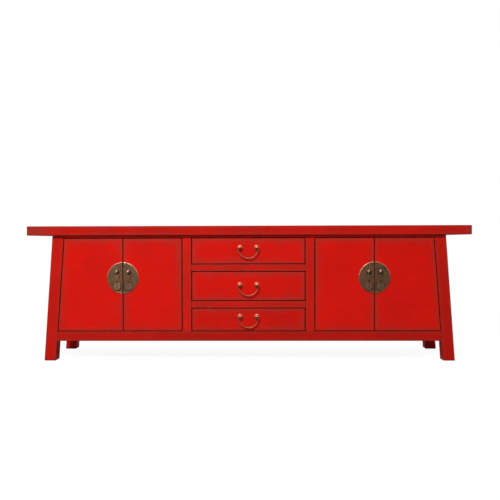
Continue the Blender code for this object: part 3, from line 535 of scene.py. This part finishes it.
def fittings_painted_shade(finish, x, y, fittings):
    """Painted shade on a plate round what is mounted on it, each given by its place and radius, on both halves."""
    aside = finish.math("ABSOLUTE", x)
    deepest = 0.0
    for across, up, radius in fittings:
        near = finish.fall(far_from(finish, aside, y, (across, up)), 0.9 * radius, 1.45 * radius)
        deepest = finish.math("MAXIMUM", near, deepest)
    return deepest


def stud_painted_shade(finish, x, y, sizes):
    """Painted shadow on and round a drop pull's stud, and painted shade towards its fork."""
    away = far_from(finish, x, y, (0.0, -sizes.stud_down))
    near = finish.fall(away, 0.60 * sizes.stud, 1.1 * sizes.stud)
    return near + finish.ramp(y, -0.8 * sizes.neck_down, 0.0, at_high=0.6)


def belly_wear_and_highlight(finish, x, y, reach, belly):
    """A line inside the edge of a drop pull's belly, and less so its middle, kept to its lower part: finger wear,
    and a painted highlight.
    """
    line = 0.84 * belly
    away = far_from(finish, x, y, (0.0, belly - reach))
    inside = finish.ramp(away, 0.70 * belly, line, 0.06, 0.55)
    outside = finish.fall(away, line, 0.95 * belly)
    return inside * outside * finish.fall(y, 1.2 * belly - reach, 2.1 * belly - reach)


def boards(slot):
    """The boards of the frame that have one finish."""
    return [part["node"] for part in frame["record"]["subparts"] if part["material_slot"] == slot]


def widest_face(mesh, axis, sign):
    """Place at Z = 0, and drift with Z, of the largest plane of a board that faces along an axis."""
    facing, step = 0.96, 0.0004
    areas = {}
    drifts = {}
    for face in mesh.polygons:
        if sign * face.normal[axis] > facing:
            drift = -face.normal.z / face.normal.x if axis == 0 else 0.0
            spot = round((face.center[axis] - drift * face.center.z) / step)
            areas[spot] = areas.get(spot, 0.0) + face.area
            drifts[spot] = drift
    spot = max(areas, key=areas.get)
    return spot * step, drifts[spot]


def finish_board(node, material):
    """Gives a board of the frame its material, and the values that the material reads from it."""
    streaks_along, streaks_across = 5.0, 150.0
    far_off = 1.0
    board = frame["nodes"][node]
    faces = {(axis, sign): widest_face(board.data, axis, sign) for axis in range(3) for sign in (-1, 1)}
    low = [faces[axis, -1][0] for axis in range(3)]
    high = [faces[axis, 1][0] for axis in range(3)]
    for axis, letter in enumerate("xyz"):
        if letter in JOINED_ENDS.get(node, ""):
            low[axis] -= far_off
            high[axis] += far_off
    board["board_low"] = low
    board["board_high"] = high
    board["board_lean"] = [faces[0, -1][1], faces[0, 1][1], 0.0]
    board["board_handled"] = DARKER_ENDS.get(node, EVEN_ENDS)
    corner, far_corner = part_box(node)
    by_length = sorted(range(3), key=lambda axis: corner[axis] - far_corner[axis])
    ways = [[float(axis == chosen) for axis in range(3)] for chosen in by_length]
    board["board_along"], board["board_across"], board["board_through"] = ways
    # A door is brushed from side to side, and any other board along its length.
    brushed = 0 if node.startswith("door_") else by_length[0]
    board["board_grain"] = [streaks_along if axis == brushed else streaks_across for axis in range(3)]
    mark(board, node)
    for slot in board.material_slots:
        slot.material = material


def mark(piece, name):
    """Gives a piece the values of its own that every finish reads."""
    tone = TONES_AND_PAINTED_LIGHT.get(name, 1.0)
    piece["board_shift"] = shift_of(name)
    piece["board_tone"] = [tone, tone, tone, 1.0]


def shift_of(name):
    """A place of its own in the patterns for each piece, from the letters of its name."""
    total = sum((i + 1) * ord(letter) for i, letter in enumerate(name))
    return [total * step % span for step, span in ((0.137, 7.0), (0.371, 5.0), (0.593, 3.0))]


def put(name, data):
    """An object of its own in the scene."""
    made = bpy.data.objects.new(name, data)
    bpy.context.scene.collection.objects.link(made)
    return made


def meshed(name, work):
    """The form that was worked on, as an object in the scene."""
    mesh = bpy.data.meshes.new(name)
    work.to_mesh(mesh)
    work.free()
    return put(name, mesh)


def add_piece(name, work, place, material, body, replaced=()):
    """Makes a form a piece of the cabinet, smooth but for its sharp edges."""
    bmesh.ops.recalc_face_normals(work, faces=work.faces)
    piece = meshed(name, work)
    piece.data.shade_smooth()
    piece.data.set_sharp_from_angle(angle=SHARP)
    piece.data.materials.append(material)
    settle(piece, place, body, replaced)


def settle(piece, place, body, replaced=()):
    """Puts a piece in its place, and says which body it rides on and which plain pieces it replaces."""
    piece.matrix_world = place
    mark(piece, piece.name)
    if replaced:
        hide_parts(*replaced)
    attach(piece, body)


def loft(stations, facets, centre=(0.0, 0.0), squareness=2.0, work=None):
    """Skins a closed form through rings, each given by its place on the axis and its two radii.

    A ring of squareness 2 is an ellipse, and a higher one has fuller corners.
    """
    def bow(value):
        return math.copysign(abs(value) ** (2 / squareness), value)

    if work is None:
        work = bmesh.new()
    turns = [2 * math.pi * i / facets for i in range(facets)]
    outline = [(bow(math.cos(turn)), bow(math.sin(turn))) for turn in turns]
    rings = []
    for out, wide, tall in stations:
        spots = outline if wide else [(0.0, 0.0)]
        rings.append([work.verts.new((centre[0] + wide * x, centre[1] + tall * y, out)) for x, y in spots])
    for lower, upper in zip(rings, rings[1:]):
        for i in range(facets):
            corners = [lower[i % len(lower)], lower[(i + 1) % len(lower)]]
            corners += [upper[(i + 1) % len(upper)], upper[i % len(upper)]]
            work.faces.new(list(dict.fromkeys(corners)))
    for end in (rings[0], rings[-1]):
        if len(end) > 1:
            work.faces.new(end)
    return work


def ring(out, radius=0.0):
    """A round ring of a loft, or the point that closes it."""
    return (out, radius, radius)


def quarter(i, count):
    """One of the even steps through a quarter turn."""
    return math.pi / 2 * i / count


def ball_rings(out, wide, tall, deep, neck, count):
    """Rings of a round or egg-shaped head, from where it meets its neck to its tip."""
    start = math.asin(min(1.0, neck / wide))
    stations = []
    for i in range(count):
        turn = math.pi - start - (math.pi - start) * i / count
        stations.append((out + deep * math.cos(turn), wide * math.sin(turn), tall * math.sin(turn)))
    return stations + [ring(out + deep)]


def arc(centre, radius, start, stop, count):
    """Points on an arc from one angle in degrees to another."""
    turns = [math.radians(start + (stop - start) * i / count) for i in range(count + 1)]
    return [(centre[0] + radius * math.cos(a), centre[1] + radius * math.sin(a)) for a in turns]


def blend(start, stop, part):
    """A soft way from one value to another."""
    return start + (stop - start) * (1 - math.cos(math.pi * part)) / 2


def half_plate(radius, way, split, sizes, seed):
    """Half of a medallion: a hammered, slightly crowned face inside a beaded rim.

    Way is the side that the half lies on, and split is how far its straight edge lies from the middle.
    """
    facets, face_rings, bead_rings = 160, 18, 10
    border, soft_edge = 2.6 * sizes.rim, 0.0003
    dents_per_metre, face_share = 90.0, 0.9
    flat = radius - border
    stations = [ring(sizes.plate + sizes.crown)]
    for i in range(1, face_rings + 1):
        out = i / face_rings
        stations.append(ring(sizes.plate + sizes.crown * (1 - out ** 2), flat * out))
    bead = arc((radius - sizes.rim, sizes.plate - sizes.rim / 2), sizes.rim, 150, 0, bead_rings)
    stations += [ring(height, away) for away, height in bead]
    work = loft(stations + [ring(0.0, radius), ring(0.0)], facets)
    for vertex in work.verts:
        if vertex.co.z > sizes.plate * face_share and vertex.co.xy.length < flat:
            spot = Vector((vertex.co.x, vertex.co.y, seed)) * dents_per_metre
            vertex.co.z += sizes.dents * noise.noise(spot)
    geometry = work.verts[:] + work.edges[:] + work.faces[:]
    cut = bmesh.ops.bisect_plane(work, geom=geometry, plane_co=(way * split, 0, 0), plane_no=(-way, 0, 0),
                                 clear_outer=True)
    open_edges = [item for item in cut["geom_cut"] if isinstance(item, bmesh.types.BMEdge)]
    made = bmesh.ops.edgenet_fill(work, edges=open_edges)["faces"]
    edges = list({edge for face in made for edge in face.edges})
    bmesh.ops.bevel(work, geom=edges, offset=soft_edge, segments=2, profile=0.5, affect="EDGES")
    return work


def boss(sizes):
    """An egg-shaped head on a round stem that spreads into a collar on the plate."""
    facets, flare_rings, head_rings = 36, 4, 14
    edge_up, edge_in = 0.0002, 0.0005
    flare_up, flare_height, flare_in = 0.0003, 0.0016, 0.0012
    collar, stem = sizes.boss_collar / 2, sizes.boss_stem / 2
    seat, face = sizes.plate * 0.6, sizes.plate + 2 * sizes.crown
    stations = [ring(seat, collar), ring(face - edge_up, collar), ring(face + edge_up, collar - edge_in)]
    for i in range(flare_rings + 1):
        turn = quarter(i, flare_rings)
        stations.append(ring(face + flare_up + flare_height * (1 - math.cos(turn)),
                             stem + (collar - flare_in - stem) * (1 - math.sin(turn))))
    stations += ball_rings(sizes.boss_out, sizes.boss_width / 2, sizes.boss_height / 2, sizes.boss_depth / 2,
                           stem, head_rings)
    return loft(stations, facets)


def dome(diameter, height, base, centre, work=None):
    """A low round head, such as a tack's or a stud's."""
    facets, rings = 20, 6
    radius = diameter / 2
    stations = [ring(base, radius)]
    for i in range(1, rings):
        turn = quarter(i, rings)
        stations.append(ring(base + height * math.sin(turn), radius * math.cos(turn)))
    return loft(stations + [ring(base + height)], facets, centre, work=work)


def fused(works):
    """Joins closed forms that run into each other into one form."""
    for work in works:
        bmesh.ops.recalc_face_normals(work, faces=work.faces)
    parts = [meshed("part", work) for work in works]
    whole = parts[0]
    for part in parts[1:]:
        modifier = whole.modifiers.new("join", "BOOLEAN")
        modifier.operation = "UNION"
        modifier.solver = "EXACT"
        modifier.object = part
    evaluated = whole.evaluated_get(bpy.context.evaluated_depsgraph_get())
    result = bmesh.new()
    result.from_mesh(evaluated.to_mesh())
    evaluated.to_mesh_clear()
    bmesh.ops.remove_doubles(result, verts=result.verts, dist=WELD)
    bmesh.ops.dissolve_degenerate(result, edges=result.edges, dist=WELD)
    for part in parts:
        bpy.data.meshes.remove(part.data)
    return result


def drop_size():
    """How far a drop pull reaches below its pin, and the radius of its belly."""
    low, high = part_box("drop_pull_outer_left")
    return PIVOTS["left_outer_drop"].z - low.z, (high.x - low.x) / 2


def drop_body(reach, belly, sizes):
    """The moulded blade of a drop pull, from its shoulders down past a waisted neck to a round belly."""
    facets, squareness = 48, 2.7
    shoulder_rings, neck_rings, belly_rings = 7, 22, 18
    edge_down, shoulder_down, thinned = 0.0004, 0.001, 0.72
    half, full = sizes.blade / 2, sizes.belly / 2
    shoulder = sizes.boss_width / 2 + sizes.fork_play + sizes.fork_arm
    top = sizes.boss_height / 2 + sizes.fork_space
    neck = sizes.neck_width / 2
    middle = reach - belly
    # Two rings round off the top edge.
    stations = [(top, shoulder * 0.94, half * 0.5), (top + edge_down, shoulder * 0.99, half * 0.85)]
    for i in range(shoulder_rings):
        part = i / shoulder_rings
        down = top + shoulder_down + (sizes.neck_down - top - shoulder_down) * part
        stations.append((down, blend(shoulder, neck, part), half))
    for i in range(neck_rings):
        part = i / neck_rings
        down = sizes.neck_down + (middle - sizes.neck_down) * part
        stations.append((down, blend(neck, belly, part), blend(half, full, part)))
    for i in range(belly_rings):
        turn = quarter(i, belly_rings)
        stations.append((middle + belly * math.sin(turn), belly * math.cos(turn),
                         full * (1 - thinned * math.sin(turn) ** 4)))
    return loft(stations + [ring(reach)], facets, squareness=squareness)


def fork_arm(side, sizes):
    """One arm of a drop pull's fork, with a round end about its pin."""
    facets, squareness = 24, 3.2
    root_overlap, end_fullness = 0.003, 0.4
    radius = sizes.fork_arm / 2
    centre = side * (sizes.boss_width / 2 + sizes.fork_play + radius)
    root = sizes.boss_height / 2 + sizes.fork_space + root_overlap
    stations = [ring(-radius)]
    for degrees in (20, 40, 60, 75, 90):
        turn = math.radians(degrees)
        stations.append((-radius * math.cos(turn), radius * math.sin(turn),
                         sizes.blade / 2 * math.sin(turn) ** end_fullness))
    stations.append((root, radius * 0.9, sizes.blade * 0.45))
    return loft(stations, facets, (centre, 0.0), squareness)


def drop_pull(reach, belly, sizes):
    """A moulded drop with its fork, its stud and the pin that it hangs on."""
    pin_facets, pin_end, pin_chamfer = 16, 0.0006, 0.0004
    works = [drop_body(reach, belly, sizes), fork_arm(-1, sizes), fork_arm(1, sizes)]
    for work in works:
        bmesh.ops.rotate(work, verts=work.verts, matrix=TO_FRONT.to_3x3())
    stud = dome(sizes.stud, sizes.stud_height, sizes.blade * 0.45, (0.0, -sizes.stud_down))
    half = sizes.boss_width / 2 + sizes.fork_play + sizes.fork_arm + pin_end
    thick, thin = sizes.pin / 2, sizes.pin * 0.4
    stations = [ring(-half, thin), ring(-half + pin_chamfer, thick)]
    stations += [ring(half - pin_chamfer, thick), ring(half, thin)]
    pin = loft(stations, pin_facets)
    bmesh.ops.rotate(pin, verts=pin.verts, matrix=Matrix.Rotation(math.pi / 2, 3, "Y"))
    return fused([*works, stud, pin])


def pull_post(reach, sizes):
    """A turned post: a domed rosette, a waist and a ball."""
    facets, dome_rings, waist_rings, head_rings = 40, 8, 4, 16
    edge, swell, waist = 0.45, 1.15, 1.75       # shares of the rosette's thickness
    crest_out, edge_in, waist_out = 0.0012, 0.0002, 0.0009
    collar, neck = sizes.collar, sizes.neck / 2
    ball, wide = sizes.ball / 2, sizes.rosette / 2
    crest = neck + crest_out
    stations = [ring(0.0, wide), ring(collar * edge, wide)]
    for i in range(1, dome_rings + 1):
        turn = quarter(i, dome_rings)
        stations.append(ring(collar * (edge + swell * math.sin(turn)),
                             crest + (wide - edge_in - crest) * math.cos(turn)))
    start = collar * waist
    end = reach - ball * 1.02
    for i in range(waist_rings + 1):
        part = i / waist_rings
        stations.append(ring(start + (end - start) * part, neck + waist_out * (1 - part) ** 2))
    return loft(stations + ball_rings(reach, ball, ball, ball, neck, head_rings)[1:], facets)


def bail_curve(name, half_gap, sizes):
    """A bail that hangs from its posts: short pins, tight bends and a half circle that swells below."""
    bend_steps, bow_steps = 8, 36
    arm = half_gap + sizes.arm
    bend = arc((arm - sizes.bend, -sizes.bend), sizes.bend, 90, 0, bend_steps)
    bow = arc((0.0, -sizes.bend), arm, 0, -90, bow_steps)
    half = [(half_gap + sizes.ball / 2 - sizes.pin, 0.0)] + bend + bow[1:]
    path = half + [(-x, z) for x, z in reversed(half[:-1])]
    curve = bpy.data.curves.new(name, "CURVE")
    curve.dimensions = "3D"
    curve.bevel_depth = sizes.wire / 2
    curve.bevel_resolution = 6
    curve.use_fill_caps = True
    spline = curve.splines.new("POLY")
    spline.points.add(len(path) - 1)
    spline.use_smooth = True
    for point, (x, z) in zip(spline.points, path):
        point.co = (x, 0.0, z, 1.0)
        point.radius = 1.0 + (sizes.swell - 1.0) * min(1.0, max(0.0, -z - sizes.bend) / arm)
    return curve


def area_lamp(name, place, size, watts):
    """A soft lamp that points at the cabinet."""
    lamp = bpy.data.lights.new(name, "AREA")
    lamp.shape = "RECTANGLE"
    lamp.size, lamp.size_y = size
    lamp.energy = watts
    way = LAMP_AIM - Vector(place)
    turn = way.to_track_quat("-Z", "Y").to_matrix().to_4x4()
    put(name, lamp).matrix_world = Matrix.Translation(place) @ turn


class CABINET_OT_lacquer(bpy.types.Operator):
    """Lacquer the frame, the doors and the drawer fronts"""
    bl_idname = "cabinet.lacquer"
    bl_label = "Lacquer the Boards"

    def execute(self, context):
        coat = context.scene.cabinet_lacquer
        doors = red_lacquer("door_lacquer", coat.door_red, coat.glaze_width, coat.door_gloss, coat)
        carcass = red_lacquer("frame_lacquer", coat.frame_red, coat.frame_glaze, coat.frame_gloss, coat)
        for node in boards("red_lacquer"):
            is_front = node.startswith(("door_", "drawer_front"))
            finish_board(node, doors if is_front else carcass)
        return {"FINISHED"}


class CABINET_OT_bare_wood(bpy.types.Operator):
    """Give the inside, the back and the drawer boxes their bare wood"""
    bl_idname = "cabinet.bare_wood"
    bl_label = "Plane the Inside"

    def execute(self, context):
        elm = bare_wood("bare_elm", context.scene.cabinet_wood)
        for node in boards("plain_wood"):
            finish_board(node, elm)
        return {"FINISHED"}


class CABINET_OT_medallions(bpy.types.Operator):
    """Model the half plates of the medallions, with their bosses and tacks"""
    bl_idname = "cabinet.medallions"
    bl_label = "Mount the Medallions"

    def execute(self, context):
        shade_slant = 2.2
        sizes = context.scene.cabinet_medallion
        brass = context.scene.cabinet_brass
        low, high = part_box("half_plate_outer_left")
        radius, height = (high.z - low.z) / 2, (low.z + high.z) / 2
        hung = PIVOTS["left_outer_drop"]
        across, up = high.x - hung.x, hung.z - height
        reach, belly = drop_size()
        fittings = [(across, up, sizes.boss_collar / 2), (across, up - reach + belly, belly)]
        # Plates are painted darker round their bosses and drops, and brighter on the rim's upper turn: painted
        # shade and highlight.
        self.plate_brass = worn_brass(
            "plate_brass", brass.aged, brass.patina, rough=0.38, spread=34.0,
            painted_darkening=(fittings_painted_shade, fittings), rubbed=(brass.rim, painted_rim_highlight, radius - sizes.rim))
        # Each boss is painted darker on its lower part, reaching higher on its right: painted shade.
        self.boss_brass = worn_brass(
            "boss_brass", toned(brass.rubbed, 0.60), brass.patina, rough=0.50, spread=40.0, cover=0.3,
            painted_darkening=(underside_painted_shade, sizes.boss_height / 2, shade_slant))
        for side, sign in SIDES.items():
            boxes = [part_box(f"half_plate_{place}_{side}") for place in PLACES]
            left = min(low.x for low, high in boxes)
            right = max(high.x for low, high in boxes)
            middle = Vector(((left + right) / 2, 0.0, height))
            for place, way in zip(PLACES, (sign, -sign)):
                self.half(place, side, way, middle, radius, sizes)
        return {"FINISHED"}

    def half(self, place, side, way, middle, radius, sizes):
        """One half plate with its boss and its tacks, on its door."""
        tack_turns, tack_ring = (-62, 0, 62), radius - 4.2 * sizes.rim
        tack_height, tack_sunk = 0.32 * sizes.tack, 0.0001
        node = f"half_plate_{place}_{side}"
        body = f"{side}_{place}_door"
        low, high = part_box(node)
        near = low.x if way > 0 else high.x
        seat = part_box(f"door_{place}_{side}")[0].y - SEAT_GAP
        spot = Matrix.Translation((middle.x, seat, middle.z)) @ TO_FRONT
        plate = half_plate(radius, way, abs(near - middle.x), sizes, shift_of(node)[0])
        add_piece(f"medallion_{place}_{side}", plate, spot, self.plate_brass, body, [node])
        pivot = PIVOTS[f"{side}_{place}_drop"]
        boss_spot = Matrix.Translation((pivot.x, seat, pivot.z)) @ TO_FRONT
        add_piece(f"boss_{place}_{side}", boss(sizes), boss_spot, self.boss_brass, body)
        tacks = bmesh.new()
        for degrees in tack_turns:
            turn = math.radians(degrees)
            centre = (way * tack_ring * math.cos(turn), tack_ring * math.sin(turn))
            dome(sizes.tack, tack_height, sizes.plate - tack_sunk, centre, tacks)
        add_piece(f"tacks_{place}_{side}", tacks, spot, self.plate_brass, body)


class CABINET_OT_drop_pulls(bpy.types.Operator):
    """Model the drop pulls that hang on the bosses"""
    bl_idname = "cabinet.drop_pulls"
    bl_label = "Hang the Drop Pulls"

    def execute(self, context):
        sizes = context.scene.cabinet_medallion
        brass = context.scene.cabinet_brass
        reach, belly = drop_size()
        # Drops carry painted shade at the stud and the fork, in a darker patina, and a painted highlight on the
        # belly's lower edge.
        drop_brass = worn_brass(
            "drop_brass", toned(brass.aged, 1.15), toned(brass.patina, 0.45), rough=0.32, spread=52.0,
            cover=0.5, painted_darkening=(stud_painted_shade, sizes),
            rubbed=(toned(brass.rubbed, 0.70), belly_wear_and_highlight, reach, belly))
        for side in SIDES:
            for place in PLACES:
                body = f"{side}_{place}_drop"
                spot = Matrix.Translation(PIVOTS[body]) @ TO_FRONT
                add_piece(f"drop_{place}_{side}", drop_pull(reach, belly, sizes), spot, drop_brass, body,
                          [f"drop_pull_{place}_{side}"])
        return {"FINISHED"}


class CABINET_OT_drawer_pulls(bpy.types.Operator):
    """Model the turned posts and the bails of the drawers"""
    bl_idname = "cabinet.drawer_pulls"
    bl_label = "Fit the Drawer Pulls"

    def execute(self, context):
        sizes = context.scene.cabinet_pull
        brass = context.scene.cabinet_brass
        # The posts' heads are painted darker on their lower half: painted shade.
        post_brass = worn_brass("post_brass", brass.polished, brass.tarnish, rough=0.48, spread=30.0,
                                cover=0.4, painted_darkening=(underside_painted_shade, sizes.ball / 2))
        bail_brass = worn_brass("bail_brass", brass.bail, brass.tarnish, rough=0.36, spread=60.0, cover=0.6)
        for level in LEVELS:
            pivot = PIVOTS[f"{level}_bail"]
            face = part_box(f"drawer_front_{level}")[0].y - SEAT_GAP
            for side in SIDES:
                node = f"pull_post_{side}_{level}"
                low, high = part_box(node)
                middle_x = (low.x + high.x) / 2
                spot = Matrix.Translation((middle_x, face, pivot.z)) @ TO_FRONT
                add_piece(f"post_{side}_{level}", pull_post(face - pivot.y, sizes), spot, post_brass,
                          f"{level}_drawer", [node])
            name = f"bail_pull_{level}"
            curve = bail_curve(name, abs(middle_x), sizes)
            curve.materials.append(bail_brass)
            settle(put(name, curve), Matrix.Translation(pivot), f"{level}_bail",
                   [f"bail_{level}"])
        return {"FINISHED"}


class CABINET_OT_stage(bpy.types.Operator):
    """Set up the floor, the light and the camera"""
    bl_idname = "cabinet.stage"
    bl_label = "Set the Stage"

    def execute(self, context):
        settings = context.scene.cabinet_stage
        context.scene.view_settings.view_transform = "Standard"
        self.floor(settings)
        self.sky(context, settings)
        for name, (place, size, setting) in LAMPS.items():
            area_lamp(name, place, size, getattr(settings, setting))
        self.camera(context, settings)
        return {"FINISHED"}

    def floor(self, settings):
        """A white floor that keeps the shadow; as shiny things reflect it, it ends not far in front."""
        half_side, squares, below = 30.0, 8, 0.0005
        lit_grey, reflected_grey = [0.42] * 3, [0.30] * 3
        reflected_end, reflected_start = -2.8, -1.2     # metres from the cabinet's middle, as the next two
        shadow_end, white_start, shadow_strength = 1.1, 2.4, 2.0
        finish = Finish(bpy.data.materials.new("white_floor"))
        path = finish.node("LightPath", {})
        depth = finish.split(finish.place())[1]
        reflected = finish.either(finish.ramp(depth, reflected_end, reflected_start),
                                  finish.glow(settings.front), finish.matt(reflected_grey))
        bright = finish.ramp(finish.size(finish.place()), shadow_end, white_start, at_low=settings.floor)
        shaded = finish.matt(finish.grey((1.0 - bright) * shadow_strength))
        white = finish.node("AddShader", {0: finish.glow(bright), 1: shaded})[0]
        seen = finish.either(finish.shining(path), finish.matt(lit_grey), reflected)
        seen = finish.either(path["Is Camera Ray"], seen, white)
        finish.node("OutputMaterial", {"Surface": seen})
        work = bmesh.new()
        bmesh.ops.create_grid(work, x_segments=squares, y_segments=squares, size=half_side)
        floor = meshed("floor", work)
        floor.data.materials.append(finish.owner)
        floor.location.z = CAD_BOX[0].z - below

    def sky(self, context, settings):
        """A white studio that lights evenly; shiny things reflect it dimmer below and in front."""
        slant, dim_end, bright_start = 0.25, -0.20, 0.85
        world = bpy.data.worlds.new("studio")
        context.scene.world = world
        finish = Finish(world)
        path = finish.node("LightPath", {})
        way = finish.split(finish.node("TexCoord", {})["Generated"])
        reflected = finish.ramp(way[1] * slant + way[2], dim_end, bright_start, at_low=settings.front)
        level = finish.choose(finish.shining(path), settings.sky, reflected)
        level = finish.choose(path["Is Camera Ray"], level, 1.0)
        back = finish.node("Background", {"Color": (1, 1, 1, 1), "Strength": level})[0]
        finish.node("OutputWorld", {"Surface": back})

    def camera(self, context, settings):
        """The photograph's viewpoint."""
        data = bpy.data.cameras.new("camera")
        data.sensor_width = SENSOR
        data.lens = settings.focus / PHOTO_WIDTH * SENSOR
        data.clip_end = 200.0
        camera = put("camera", data)
        turn = Matrix.Rotation(settings.yaw, 4, "Z") @ Matrix.Rotation(math.pi / 2 + settings.pitch, 4, "X")
        turn = turn @ Matrix.Rotation(settings.roll, 4, "Z")
        camera.matrix_world = Matrix.Translation(settings.eye) @ turn
        context.scene.camera = camera


class CABINET_PT_panel(bpy.types.Panel):
    """The steps that finish the cabinet, in order"""
    bl_idname = "CABINET_PT_panel"
    bl_label = "Lacquer Cabinet"
    bl_space_type = "VIEW_3D"
    bl_region_type = "UI"
    bl_category = "Cabinet"

    def draw(self, context):
        for step in STEPS:
            self.layout.operator(step.bl_idname)


STEPS = (
    CABINET_OT_lacquer,
    CABINET_OT_bare_wood,
    CABINET_OT_medallions,
    CABINET_OT_drop_pulls,
    CABINET_OT_drawer_pulls,
    CABINET_OT_stage,
)
SETTINGS = {
    "cabinet_lacquer": LacquerSettings,
    "cabinet_wood": WoodSettings,
    "cabinet_brass": BrassSettings,
    "cabinet_medallion": MedallionSettings,
    "cabinet_pull": PullSettings,
    "cabinet_stage": StageSettings,
}
CLASSES = (*SETTINGS.values(), *STEPS, CABINET_PT_panel)


def register():
    for cls in CLASSES:
        bpy.utils.register_class(cls)
    for name, cls in SETTINGS.items():
        setattr(bpy.types.Scene, name, PointerProperty(type=cls))


def unregister():
    for name in SETTINGS:
        delattr(bpy.types.Scene, name)
    for cls in reversed(CLASSES):
        bpy.utils.unregister_class(cls)


def main():
    register()
    bpy.ops.cabinet.lacquer()
    bpy.ops.cabinet.bare_wood()
    bpy.ops.cabinet.medallions()
    bpy.ops.cabinet.drop_pulls()
    bpy.ops.cabinet.drawer_pulls()
    bpy.ops.cabinet.stage()


if __name__ == "__main__":
    main()
